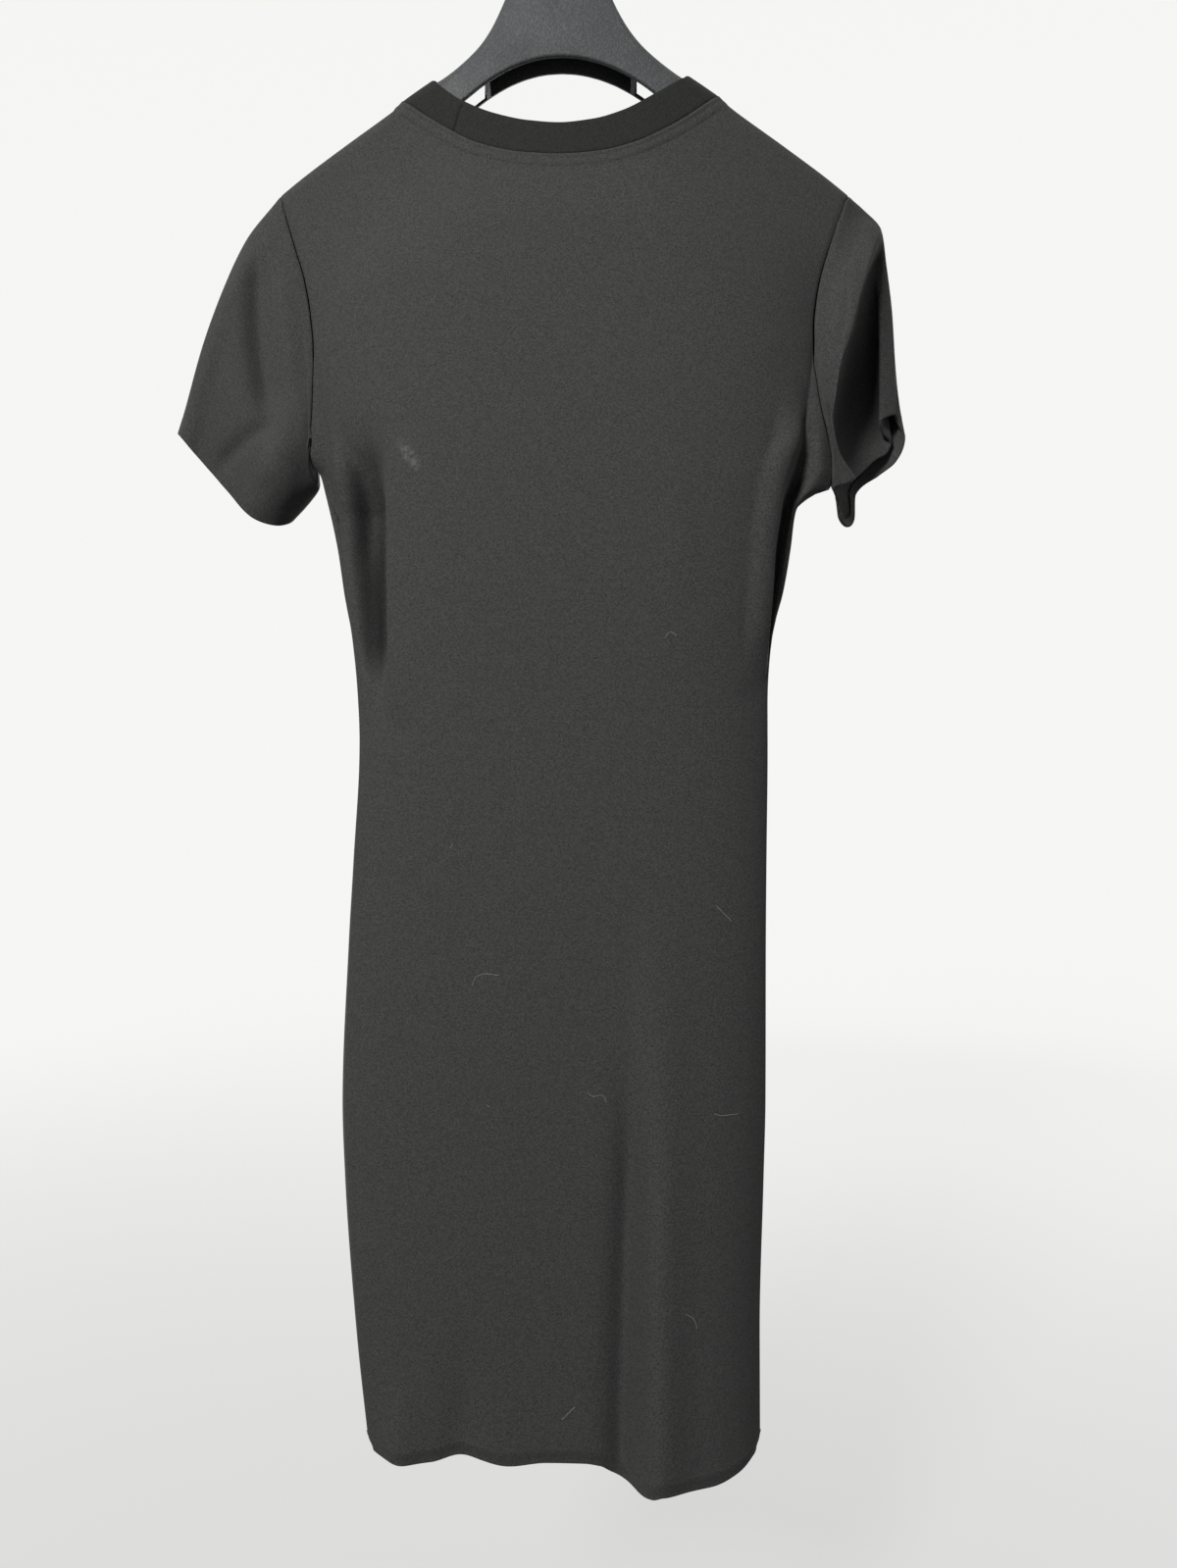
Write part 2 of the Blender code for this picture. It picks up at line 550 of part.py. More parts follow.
def grid_object(name, rows, closed, collection, look):
    """One surface through rows of points, each row open or a closed loop."""
    mesh_builder = bmesh.new()
    verts = [[mesh_builder.verts.new([v * MM for v in point]) for point in row] for row in rows]
    for low, high in zip(verts, verts[1:]):
        last = len(low) if closed else len(low) - 1
        for k in range(last):
            n = (k + 1) % len(low)
            mesh_builder.faces.new((low[k], low[n], high[n], high[k]))
    mesh = bpy.data.meshes.new(name)
    mesh_builder.to_mesh(mesh)
    mesh_builder.free()
    mesh.shade_smooth()
    mesh.materials.append(look)
    made = bpy.data.objects.new(name, mesh)
    collection.objects.link(made)
    return made


def give_wall(piece, thickness):
    wall = piece.modifiers.new("wall", "SOLIDIFY")
    wall.thickness = thickness * MM
    wall.offset = 0
    wall.use_rim = True


def loft(name, sections, collection, look):
    """A closed solid through sections of equal point count, capped at both ends."""
    made = grid_object(name, sections, True, collection, look)
    mesh_builder = bmesh.new()
    mesh_builder.from_mesh(made.data)
    mesh_builder.verts.ensure_lookup_table()
    count = len(sections[0])
    mesh_builder.faces.new([mesh_builder.verts[k] for k in range(count)])
    mesh_builder.faces.new([mesh_builder.verts[len(mesh_builder.verts) - count + k] for k in range(count)])
    bmesh.ops.recalc_face_normals(mesh_builder, faces=mesh_builder.faces)
    mesh_builder.to_mesh(made.data)
    mesh_builder.free()
    return made


def arm_section(x):
    """Section of the hanger at a station: a round top, straight sides and a soft lower edge."""
    top = HANGER.at("top", abs(x))
    if abs(x) > 91:
        top = ridge_z(x) - WRAP + ARM_HALF_DEPTH
    low = HANGER.at("low", abs(x))
    rise = min(ARM_HALF_DEPTH, 0.6 * (top - low))
    points = []
    for k in range(13):
        angle = math.pi * k / 12
        points.append((ARM_HALF_DEPTH * math.cos(angle), top - rise + rise * math.sin(angle)))
    points += [(-ARM_HALF_DEPTH, low + 2), (-ARM_HALF_DEPTH + 2, low),
               (ARM_HALF_DEPTH - 2, low), (ARM_HALF_DEPTH, low + 2)]
    nose = math.sqrt(1 - max(0, (abs(x) - ARM_NOSE) / (TIP_X + 0.4 - ARM_NOSE)) ** 2)
    middle = (top + low) / 2
    section = []
    for dy, z in points:
        lean = HANGER_LEAN * ease((z + 190) / 75)
        section.append((x + lean, arm_y(x) + dy * nose, mix(middle, z, nose)))
    return section


def channel_section(x):
    """Section of the cutter that hollows an arm and opens a window above its front rail."""
    low = HANGER.at("low", abs(x))
    outline = ((-CHANNEL_HALF, -2), (CHANNEL_HALF, -2), (CHANNEL_HALF, RAIL_HEIGHT),
               (ARM_HALF_DEPTH + 2, RAIL_HEIGHT), (ARM_HALF_DEPTH + 2, CHANNEL_HEIGHT),
               (-CHANNEL_HALF, CHANNEL_HEIGHT))
    return [(x, arm_y(x) + dy, low + dz) for dy, dz in outline]


def make_hanger(parts, cutters, plastic, steel):
    stations = [-x for x in reversed(HANGER_STATIONS[1:])] + list(HANGER_STATIONS)
    body = loft("hanger_body", [arm_section(x) for x in stations], parts, plastic)
    for side, label in ((-1, "left"), (1, "right")):
        cutter = loft(f"channel_{label}", [channel_section(side * x) for x in CHANNEL], cutters, plastic)
        cutter.hide_render = True
        cutter.display_type = "WIRE"
        cut = body.modifiers.new(f"channel_{label}", "BOOLEAN")
        cut.object = cutter
        cut.operation = "DIFFERENCE"
        cut.solver = "EXACT"
    make_hook(parts, steel)


def make_hook(parts, steel):
    """A wire hook: a stem out of the plastic neck, and three quarters of a ring."""
    centre_z = -HOOK_RADIUS
    radius = HOOK_RADIUS + HOOK_WIRE / 2
    route = []
    for k in range(25):
        angle = math.radians(mix(-35, 225, k / 24))
        route.append((radius * math.cos(angle), centre_z + radius * math.sin(angle)))
    foot_x = HANGER_LEAN
    bend_x, bend_z = route[-1]
    for k in range(1, 5):
        t = ease(k / 4)
        route.append((mix(bend_x, foot_x, t), mix(bend_z, -53, k / 4)))
    route.append((foot_x, NECK_TOP_Z + 0.3))
    curve = bpy.data.curves.new("hanger_hook", "CURVE")
    curve.dimensions = "3D"
    curve.bevel_depth = HOOK_WIRE / 2 * MM
    curve.bevel_resolution = 3
    curve.use_fill_caps = True
    spline = curve.splines.new("POLY")
    spline.points.add(len(route) - 1)
    for point, (x, z) in zip(spline.points, route):
        point.co = (x * MM, 0, z * MM, 1)
    curve.materials.append(steel)
    hook = bpy.data.objects.new("hanger_hook", curve)
    parts.objects.link(hook)


def seam_gap(columns, face):
    """Set the two columns of a panel along each side seam off by half a gap."""
    shift = -SIDE_GAP / 2 if face == "back" else SIDE_GAP / 2
    for column in columns[:2] + columns[-2:]:
        for k, (x, y, z) in enumerate(column):
            if z < RIGHT_ARMPIT_Z + 12:
                column[k] = (x, y + shift, z)
    return columns


def rows_of(columns):
    return [[column[k] for column in columns] for k in range(len(columns[0]))]


def main():
    for old in list(bpy.data.objects):
        bpy.data.objects.remove(old, do_unlink=True)
    parts = bpy.data.collections.new("bodycon_dress_on_hanger")
    cutters = bpy.data.collections.new("cutters")
    bpy.context.scene.collection.children.link(parts)
    bpy.context.scene.collection.children.link(cutters)
    knit = material("scuba knit, charcoal", (0.042, 0.042, 0.041), 0.62)
    rib = material("scuba knit, doubled band", (0.036, 0.036, 0.035), 0.66)
    plastic = material("moulded polystyrene, dark grey", (0.12, 0.12, 0.122), 0.5)
    steel = material("chromed steel wire", (0.75, 0.75, 0.76), 0.18, 1.0)

    back_cut, front_cut = back_grid(), front_grid()
    left_rings = sleeve_grid(-1, LEFT_SLEEVE, back_cut, front_cut, 8)
    right_rings = sleeve_grid(1, RIGHT_SLEEVE, back_cut, front_cut, 9)
    back = grid_object("back_panel", rows_of(seam_gap(back_cut, "back")), False, parts, knit)
    front = grid_object("front_panel", rows_of(seam_gap(front_cut, "front")), False, parts, knit)
    left = grid_object("sleeve_left", left_rings, True, parts, knit)
    right = grid_object("sleeve_right", right_rings, True, parts, knit)
    band = grid_object("neckband", band_grid(), True, parts, rib)
    for piece in (back, front, left, right):
        give_wall(piece, PANEL_WALL)
    give_wall(band, BAND_WALL)
    make_hanger(parts, cutters, plastic, steel)


main()
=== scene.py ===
# %% [markdown]
# # A bodycon dress on its hanger
#
# A short-sleeved dress in a dense scuba knit hangs from a broad moulded hanger, its back
# toward us. The imported model already holds every piece as a plain solid of the right size.
# This lesson gives each piece its finish: fine cloth with turned hems and seam allowances,
# creases laid one by one, stitches made with Geometry Nodes, and materials made of nodes.
# Sizes are millimetres here, and become metres when a mesh is made.

# %% Load the imported model
import math

import bmesh
import bpy
import numpy as np
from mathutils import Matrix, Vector


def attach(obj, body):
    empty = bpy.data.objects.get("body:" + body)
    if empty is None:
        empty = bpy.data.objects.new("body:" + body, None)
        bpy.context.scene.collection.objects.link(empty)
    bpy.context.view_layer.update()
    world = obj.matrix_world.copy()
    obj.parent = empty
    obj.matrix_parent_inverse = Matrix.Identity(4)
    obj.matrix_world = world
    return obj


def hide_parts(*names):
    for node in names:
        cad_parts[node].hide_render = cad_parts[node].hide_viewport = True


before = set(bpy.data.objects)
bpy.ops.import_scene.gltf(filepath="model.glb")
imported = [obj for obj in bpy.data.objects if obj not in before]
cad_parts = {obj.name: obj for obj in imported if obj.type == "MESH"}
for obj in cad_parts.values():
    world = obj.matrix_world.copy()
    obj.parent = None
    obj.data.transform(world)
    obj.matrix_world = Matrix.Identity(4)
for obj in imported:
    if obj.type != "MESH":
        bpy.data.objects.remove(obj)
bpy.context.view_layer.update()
MM = 0.001
print("nodes:", sorted(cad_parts))

# %% [markdown]
# ## Reading sizes along smooth curves
#
# A garment's outline is known at a few heights. Between them it runs smoothly and never
# bulges past them, so the tables are read with a Hermite curve whose slopes are kept small
# enough not to overshoot. Every function here takes whole arrays, which keeps fine cloth fast.

# %% Curves and tables
def mix(a, b, t):
    return a + (b - a) * t


def ease(t):
    """0 to 1 with level ends."""
    t = np.clip(t, 0.0, 1.0)
    return t * t * (3 - 2 * t)


def hermite(t, width, start, end, out, into):
    return ((1 + 2 * t) * (1 - t) ** 2 * start + t * (1 - t) ** 2 * width * out
            + t * t * (3 - 2 * t) * end + t * t * (t - 1) * width * into)


def soft_slopes(keys, values):
    """Slopes at the points of a curve, level wherever it turns."""
    slope = np.diff(values, axis=-1) / np.maximum(np.diff(keys, axis=-1), 1e-6)
    before, after = slope[..., :-1], slope[..., 1:]
    turns = before * after <= 0
    middle = np.where(turns, 0, 2 * before * after / np.where(turns, 1, before + after))
    return np.concatenate([slope[..., :1], middle, slope[..., -1:]], axis=-1)


def smooth_read(keys, values, at):
    """Values at places on one curve."""
    keys, values = np.asarray(keys, float), np.asarray(values, float)
    at = np.clip(at, keys[0], keys[-1])
    i = np.clip(np.searchsorted(keys, at, side="right") - 1, 0, len(keys) - 2)
    slopes, width = soft_slopes(keys, values), np.diff(keys)
    t = (at - keys[i]) / width[i]
    return hermite(t, width[i], values[i], values[i + 1], slopes[i], slopes[i + 1])


def read_between(keys, values, at):
    """Values at places that each have a curve of their own: keys and values end in its points."""
    at = np.clip(at, keys[..., 0], keys[..., -1])
    i = np.clip((at[..., None] >= keys).sum(-1) - 1, 0, keys.shape[-1] - 2)

    def pick(table, k):
        return np.take_along_axis(table, k[..., None], -1)[..., 0]

    slopes = soft_slopes(keys, values)
    width = np.maximum(pick(keys, i + 1) - pick(keys, i), 1e-6)
    t = (at - pick(keys, i)) / width
    return hermite(t, width, pick(values, i), pick(values, i + 1),
                   pick(slopes, i), pick(slopes, i + 1))


def by_axis(read, points):
    """The same reading of each coordinate of some points."""
    return np.stack([read(points[..., axis]) for axis in range(points.shape[-1])], axis=-1)


def travel_along(points, axis=0):
    """Distance travelled along lines of points, from 0."""
    steps = np.linalg.norm(np.diff(points, axis=axis), axis=-1)
    start = np.zeros_like(np.take(steps, [0], axis=axis))
    return np.concatenate([start, np.cumsum(steps, axis=axis)], axis=axis)


def unit(vectors):
    return vectors / np.maximum(np.linalg.norm(vectors, axis=-1, keepdims=True), 1e-9)


class Table:
    """Rows of sizes under named columns."""

    def __init__(self, columns, rows):
        ordered = np.array(sorted(rows), float)
        self.keys = ordered[:, 0]
        self.columns = {name: ordered[:, i] for i, name in enumerate(columns.split())}

    def at(self, name, key):
        return smooth_read(self.keys, self.columns[name], key)


# %% [markdown]
# ## The sizes of the dress
#
# These are the sizes that the solids were made from, so the fine cloth lies on their form.
# x runs toward the wearer's right sleeve, y toward the front of the dress, z up; 0 is the
# inside top of the hanger's hook.

# %% Driving sizes
CLOTH = 1.0                 # one layer of the knit
HEM_Z = -1118.0
YOKE_Z = -386.0             # above this, the columns of a panel run up to shoulder or neck
TIP_X = 203.0               # shoulder tip, from the middle
NECK_X = -2.5
NECK_HALF = 109.5
BAND_TIP_HALF = 89.5
BAND_WIDTH = 21.0
BAND_PROUD = 0.75
WRAP = 13.1                 # radius of the cloth's middle where it turns over the arm
SHOULDER_SEAM = math.radians(38)
SHOULDER_GAP = 0.6
ARM_BLEND_START = 28.0      # from here down the arm's form gives way to the tube's
ARM_BLEND = 100.0
ARM_HALF_DEPTH = 11.6
SEAM_GAP = 0.4
NECK_TURN = 9.0
FRONT_NECK_LOW = -270.0
FRONT_EDGE_LOW = -250.0
ARM_Y = -2.0                # depth of the arm's middle at the neck, and how far its tips bend
ARM_BEND = 32.0
EDGE_REACH = 16.0           # the cloth bends to its side seam over about this width
FOLD_FADE = 18.0            # a hollow dies out this far past its last line
FOLD_PIN = 8.0              # this near a side seam the hanging folds die out
CAP_SHARE = 0.1             # at least this share of a column's upper part gets the cap's rows
LEFT_ARMPIT_Z = -441.0
RIGHT_ARMPIT_Z = -450.0

# %% Where the seams run at the two sides
SKIRT = (
    # z  left  right  y
    (-1118, 134.5, 135.5, -6), (-1041, 143.5, 135.5, -4), (-933, 152, 138.5, -2),
    (-879, 154, 140, -1), (-770, 150, 140.5, 1), (-715, 147, 141, 2), (-633, 143, 142, 4),
    (-605, 144, 142, 5))
LEFT_EDGE = Table("z x back front", [(z, -left, y, y) for z, left, _, y in SKIRT] + [
    (-560, -148.5, 7, 7), (-525, -155, 9, 9), (-494, -160, 11, 11), (-453, -169.5, 13, 13),
    (-441, -173, 14, 14), (-434, -178.5, 10, 24), (-428, -180.5, 7, 31), (-414, -178, 5, 39),
    (-384, -176.4, 5, 44), (-356, -176, 7, 46), (-332, -178.3, 9, 47), (-304, -183.4, 12, 47),
    (-282, -190, 14.5, 46), (-253, -199, 16, 44), (-240, -203, 17, 43)])
RIGHT_EDGE = Table("z x back front", [(z, right, y, y) for z, _, right, y in SKIRT] + [
    (-562, 145, 7, 7), (-543, 149, 8, 8), (-525, 154, 9, 9), (-494, 159.5, 10, 10),
    (-471, 162.7, 12, 12), (-465, 164.2, 12, 12), (-459, 170.5, 13, 13), (-454, 178.5, 13, 13),
    (-450, 189, 14, 14), (-441, 189.5, 12, 22), (-432, 189, 11, 29), (-417, 185.3, 7, 37),
    (-400, 180.8, 5, 41), (-380, 177.3, 5, 44), (-360, 175, 7, 46), (-340, 175, 8, 47),
    (-320, 177, 10, 47), (-299, 181.3, 13, 47), (-276, 188.7, 15, 46), (-256, 195.7, 16, 44),
    (-240, 203, 17, 43)])

# %% The tube of the body, and how round its sides are
TUBE = Table("z left right back front", [(*row, row[-1]) for row in SKIRT] + [
    (-560, 148, 144.5, 7, 7), (-525, 153, 149, 9, 9), (-480, 158, 155, 10, 16),
    (-440, 163, 162, 9, 28), (-400, 169, 169, 7, 39), (-360, 175, 174, 8, 44),
    (-320, 181, 178, 10, 46), (-282, 190, 187, 14, 46), (-240, 203, 203, 17, 43)])
MIDDLE = Table("z back front fullness roundness", (
    (-1118, -27, 30, 3.0, 2.0), (-1041, -29, 32, 3.0, 2.0), (-933, -32, 35, 2.8, 2.0),
    (-770, -34, 38, 2.8, 2.0), (-633, -33, 36, 2.8, 2.0), (-525, -34, 37, 3.0, 2.0),
    (-450, -33, 39, 3.0, 2.0), (-430, -32.5, 39.5, 3.0, 1.7), (-386, -31, 40, 3.0, 1.35),
    (-340, -29, 39, 2.8, 1.2), (-300, -27, 38, 2.6, 1.1), (-231, -22, 34, 2.2, 1.0)))

# %% The hollows beside the armpits of the back
LEFT_FOLD = Table("z ridge ridge_y valley valley_y wall wall_y edge edge_y hold", (
    (-1118, -127, 0, -119, 0, -110, 0, -100, 0, 0), (-640, -136, 0, -129, 0, -122, 0, -113, 0, 0),
    (-600, -138, -5, -124.3, 1, -120.4, -12, -118, -20, 0.35),
    (-562, -142, -1.5, -122.8, 14, -120.8, -4, -119.3, -19, 1),
    (-527, -148, 0.5, -123.2, 20, -121, -3, -119.8, -20, 1),
    (-497, -153, 2.5, -123.8, 22, -121.3, -3, -120.2, -20, 1),
    (-474, -156, 3.5, -125, 19, -121.8, -4, -120.3, -20, 1),
    (-446, -162, 3, -129, 9, -123.2, -8, -120.3, -20, 0.75),
    (-423, -165.5, 1, -138, 0, -125.5, -12, -120, -19, 0.35),
    (-400, -168.5, 1, -148, -2, -126, -15, -119.5, -19, 0.1),
    (-340, -170, 0, -160, 0, -132, 0, -119, 0, 0)))
RIGHT_FOLD = Table("z edge edge_y groove groove_y lip lip_y hold", (
    (-1118, 105, 0, 118, 0, 129, 0, 0), (-615, 130, 0, 136, 0, 139.5, 0, 0),
    (-578, 139.5, -7, 141.2, 0, 142.6, 1, 0.5), (-550, 141.5, -10.5, 143.9, 7, 146.0, 4, 1),
    (-527, 143, -13, 146.8, 11, 150, 7.5, 1), (-497, 144.6, -14, 149.4, 14, 155, 9, 1),
    (-472, 148, -14.5, 153.2, 15, 160, 9, 1), (-461, 149.5, -14.5, 155, 14, 164.5, 7, 1),
    (-455, 150.5, -14.5, 157, 13, 170, 6, 1), (-438, 155.5, -14, 163, 10, 178.5, 4, 1),
    (-419, 162, -11, 169.5, 6, 178, 3, 0.9), (-398, 163, -7, 169, 2, 176, 3, 0.4),
    (-360, 150, 0, 160, 0, 168, 0, 0)))
LEFT_LINES = ("ridge", "valley", "wall", "edge")      # from the side seam inward
RIGHT_LINES = ("lip", "groove", "edge")

# %% Hem, ridge and neckline
BACK_HEM = Table("x z", (
    (-134.5, -1119), (-115, -1122), (-90, -1120), (-70, -1116), (-57, -1118), (-37, -1121),
    (-12, -1118.5), (14, -1119), (26, -1121.5), (35, -1128), (42, -1133), (49, -1134.3),
    (57, -1131.8), (66, -1129), (80, -1129.2), (100, -1128.6), (121, -1124.4), (133, -1120.5),
    (135.5, -1118)))
RIDGE = Table("x z", (
    (0, -152), (60, -154), (75, -162), (91, -171), (112, -183.5), (122, -190),
    (154, -208.5), (186, -226.7), (203, -237)))
BACK_NECK = Table("x z edge_x edge_z", (
    (-112, -186.4, -92, -174.5), (-89, -203, -73, -189.5), (-57, -222, -48, -201.5),
    (-28, -229.3, -24, -207.5), (-3, -231, -3, -209.3), (24, -228.5, 20, -206.5),
    (49, -221, 41, -199.5), (75, -206.5, 62, -187.5), (107, -183.4, 87, -171.6)))
# where the columns of the back meet its neckline, and those of the front its shoulder
NECK_PLACES = (0, 0.01, 0.023, 0.045, 0.09, 0.16, 0.24, 0.32, 0.41, 0.5,
               0.59, 0.68, 0.76, 0.84, 0.91, 0.955, 0.977, 0.99, 1)
FRONT_SIDE = (1.0, 0.988, 0.95, 0.87, 0.78, 0.69, 0.60)
FRONT_TURN_END = 0.48

# %% The sleeves, line by line from armhole to cuff
LEFT_SLEEVE = (
    # seam, then x, y and z of the cap, the middle and the cuff
    (0.00, -231.5, 32, -272, -258.5, 36, -342, -279.5, 33, -406),
    (0.05, -226, 17, -276, -252.5, 6.5, -350, -271, 13, -414),
    (0.12, -213.5, 9, -287, -238, 3, -363, -259.3, 15, -427.9),
    (0.25, -195.5, 4, -352, -214.1, 0, -404, -239.5, 16, -450.8),
    (0.38, -184.7, 1, -414, -195, -3, -441, -221.6, 15, -470),
    (0.46, -179.5, 8, -441, -185, 11, -455, -204.8, 21, -474.6),
    (0.52, -175.5, 21, -447, -183, 28, -455, -196.5, 32, -467),
    (0.62, -184, 46, -420, -199, 51, -432, -219, 52, -442),
    (0.75, -193, 54, -353, -222, 60, -390, -246, 57, -428),
    (0.88, -214, 52, -286, -244, 60, -352, -268, 51, -412),
)
RIGHT_SLEEVE = (
    # seam, then x, y and z of the cap, the ridge, behind it, the recess and the cuff
    (0.00, 216, 33, -245, 230, 40, -257, 236, 47, -280, 242.5, 54, -315, 246.5, 56, -388),
    (0.035, 215, 27, -252, 227, 29, -262, 231.5, 40, -274, 238, 45, -322, 243, 50, -386),
    (0.07, 213, 21, -261, 222, 19, -272, 226, 40, -280, 231, 43, -333, 231.8, 46, -392),
    (0.10, 208, 16, -273, 217, 11, -285, 219.7, 35, -291, 235, 57, -345, 234.8, 53, -398.5),
    (0.14, 199, 10, -293, 210.5, 3, -304, 212.4, 28, -309.5, 235, 63, -356, 242.5, 60, -404.5),
    (0.165, 195.3, 7, -305, 207.5, 0, -313, 209, 24, -318, 229, 61.5, -364, 239.5, 60, -412),
    (0.19, 192, 4, -316, 204.5, -3, -322, 205.4, 19, -326.5, 219.5, 60, -372, 230.6, 56, -417.6),
    (0.24, 187, 0, -339, 198.5, -6.5, -343, 199.2, 15, -347.5, 207.5, 54, -386, 220, 51, -427.8),
    (0.30, 184, -2, -368, 191, -8, -369, 191.7, 11, -373.5, 198, 42, -404, 211, 43, -436.4),
    (0.355, 184, -1, -393, 187.3, -6.5, -393, 188.1, 9, -397.5, 193.5, 28, -418, 207, 33, -439.5),
    (0.385, 185.5, 1, -403, 185.6, -5, -404, 187, -3, -412, 192.5, 3, -428, 204.5, 10, -443.5),
    (0.41, 187, 3, -411, 185.8, -2, -413, 187.5, 0, -421, 191, 3.5, -432, 198.5, 7, -447.5),
    (0.45, 190.5, 9, -432, 189, 7, -437, 188.5, 5.5, -441, 188.3, 5, -446, 189, 7, -451.5),
    (0.468, 191.3, 12, -440, 191, 12, -444, 191, 13, -448, 191.8, 14, -452, 194, 17, -458),
    (0.485, 192, 14, -447, 193, 17, -452, 193.6, 18.5, -455, 194.7, 20, -460, 196.6, 25, -468),
    (0.51, 192.5, 19, -451, 195, 25, -456, 197.2, 28.5, -460, 200, 31, -464, 203.6, 34, -472.6),
    (0.54, 193.5, 25, -449, 199, 35, -450, 202.5, 39.5, -453, 206, 43, -456, 211, 45, -466),
    (0.575, 195, 31, -443, 203, 43, -441, 207, 50, -441, 211, 56, -441.5, 215.8, 60, -443),
    (0.66, 197, 44, -412, 210, 57, -415, 217, 63, -419, 224.5, 67, -423, 234.5, 68, -427.4),
    (0.79, 197, 53, -332, 214, 64, -359, 225, 69, -374, 235.5, 71, -388, 248.5, 66, -416),
    (0.92, 204, 47, -262, 221, 57, -287, 231, 62, -315, 242, 66, -344, 253.7, 61, -400.3),
)

# %% [markdown]
# ## Folds and creases
#
# Gravity and the hanger make two kinds of fold. Soft ones hang from high up and widen to the
# hem, and small ones run out from the armpits. Each is a row in a table: a route of x and z,
# how soft it is on either side, and how deep. A height field along y is enough for cloth that
# hangs this flat, so a crease simply pushes the cloth in or out along its route.

# %% Tables of folds
HANGING_FOLDS = (
    # x_hem  x_top  width  push   top
    (-112, -112, 12, -5, -1050),
    (-69, -66, 14, 4.5, -1010),
    (39, 46, 13, 8, -690),
    (61, 62, 22, -20, -700),
    (100, 96, 33, -14, -720),
)
FRONT_FOLDS = (
    (-84, -70, 22, -6, -620),
    (-30, -36, 16, 7, -700),
    (34, 24, 20, -5, -560),
    (92, 84, 18, 6, -760),
)
BACK_CREASES = (
    # route of (x, z)                                          left  right push fade
    (((-161, -402), (-153, -421), (-141, -446), (-138, -474), (-139, -520)), 4, 6.5, 3.8, 0.3),
    (((-131, -440), (-132.5, -500), (-131, -560), (-127, -600)), 2.2, 2.6, -1.6, 0.25),
    (((42, -830), (46, -900), (44, -1000), (42, -1112), (41, -1200)), 12, 9, 8.5, 0.3),
    (((129, -1020), (128, -1116)), 2.5, 4, -0.8, 0.4),
    (((78, -420), (79, -480), (76, -560)), 10, 12, -0.7, 0.5),
    (((-60, -640), (-66, -760), (-58, -880)), 20, 18, 0.9, 0.5),
    (((-8, -560), (-2, -680), (-6, -800)), 22, 22, -0.8, 0.5),
)
FRONT_CREASES = (
    (((-168, -430), (-140, -446), (-108, -455)), 7, 9, -2.0, 0.35),
    (((-160, -470), (-130, -492), (-96, -505)), 6, 10, -1.6, 0.35),
    (((172, -436), (140, -455), (104, -462)), 7, 9, -2.2, 0.35),
    (((150, -500), (122, -520), (92, -540)), 6, 9, -1.5, 0.35),
    (((-60, -330), (-66, -420), (-60, -520)), 14, 16, -1.6, 0.5),
    (((56, -320), (60, -420), (50, -540)), 15, 14, -1.4, 0.5),
    (((0, -290), (4, -380), (-2, -470)), 12, 12, 1.2, 0.5),
)
LEFT_SLEEVE_CREASES = (
    (((-218, -262), (-217, -300), (-214.5, -345), (-208, -392), (-205, -425)), 15, 9, 9.0, 0.3),
    (((-204, -276), (-199, -325), (-193, -366), (-190, -400)), 7, 9, -1.8, 0.35),
    (((-196, -404), (-207, -410), (-221, -418), (-238, -430), (-250, -446)), 6.5, 6.5, 3.2, 0.3),
    (((-192, -416), (-202, -434), (-211, -456)), 9, 8, -2.6, 0.4),
)
RIGHT_SLEEVE_CREASES = (
    (((209, -276), (201, -312), (195, -350), (190, -376)), 4.5, 4.0, -3.2, 0.3),
    (((190, -280), (186, -310), (183, -345), (184, -372)), 6, 6, 0.9, 0.4),
)

# %% A crease pushed into a height field
def along_route(points, count=28):
    """Evenly spaced points on a smooth route through a few points."""
    points = np.array(points, float)
    travel = travel_along(points)
    at = np.linspace(0, travel[-1], count)
    return by_axis(lambda values: smooth_read(travel, values, at), points)


def crease_push(x, z, crease):
    """How far one crease pushes each point of the cloth."""
    points, left, right, push, fade = crease
    route = along_route(points)
    start, step = route[:-1], np.diff(route, axis=0)
    reach = 3 * max(left, right)        # past three widths a crease is flat
    low, high = route.min(axis=0) - reach, route.max(axis=0) + reach
    near = (x > low[0]) & (x < high[0]) & (z > low[1]) & (z < high[1])
    pushed = np.zeros_like(x)
    if not near.any():
        return pushed
    apart = np.stack([x[near], z[near]], axis=-1)[:, None] - start
    t = np.clip((apart * step).sum(-1) / (step ** 2).sum(-1), 0, 1)
    distance = np.linalg.norm(apart - t[..., None] * step, axis=-1)
    k = distance.argmin(axis=1)
    rows = np.arange(len(k))
    side = step[k, 0] * apart[rows, k, 1] - step[k, 1] * apart[rows, k, 0]
    width = np.where(side > 0, left, right)
    travel = (k + t[rows, k]) / len(start)
    ends = ease(travel / fade) * ease((1 - travel) / fade)
    pushed[near] = push * ends * np.exp(-(distance[rows, k] / width) ** 2)
    return pushed


# %% [markdown]
# ## The surface of the two panels
#
# Near the top the cloth lies over the hanger's arm; lower down it is a flattened tube. The
# depth of a panel is mixed from the one to the other over the first hand's width below the
# ridge, and the folds are added to the tube.

# %% Depth of a panel
def ridge_z(x):
    return RIDGE.at("z", abs(x))


def arm_y(x):
    return ARM_Y + ARM_BEND * (x / TIP_X) ** 2


def edge_at(x, name, z):
    return np.where(x < 0, LEFT_EDGE.at(name, z), RIGHT_EDGE.at(name, z))


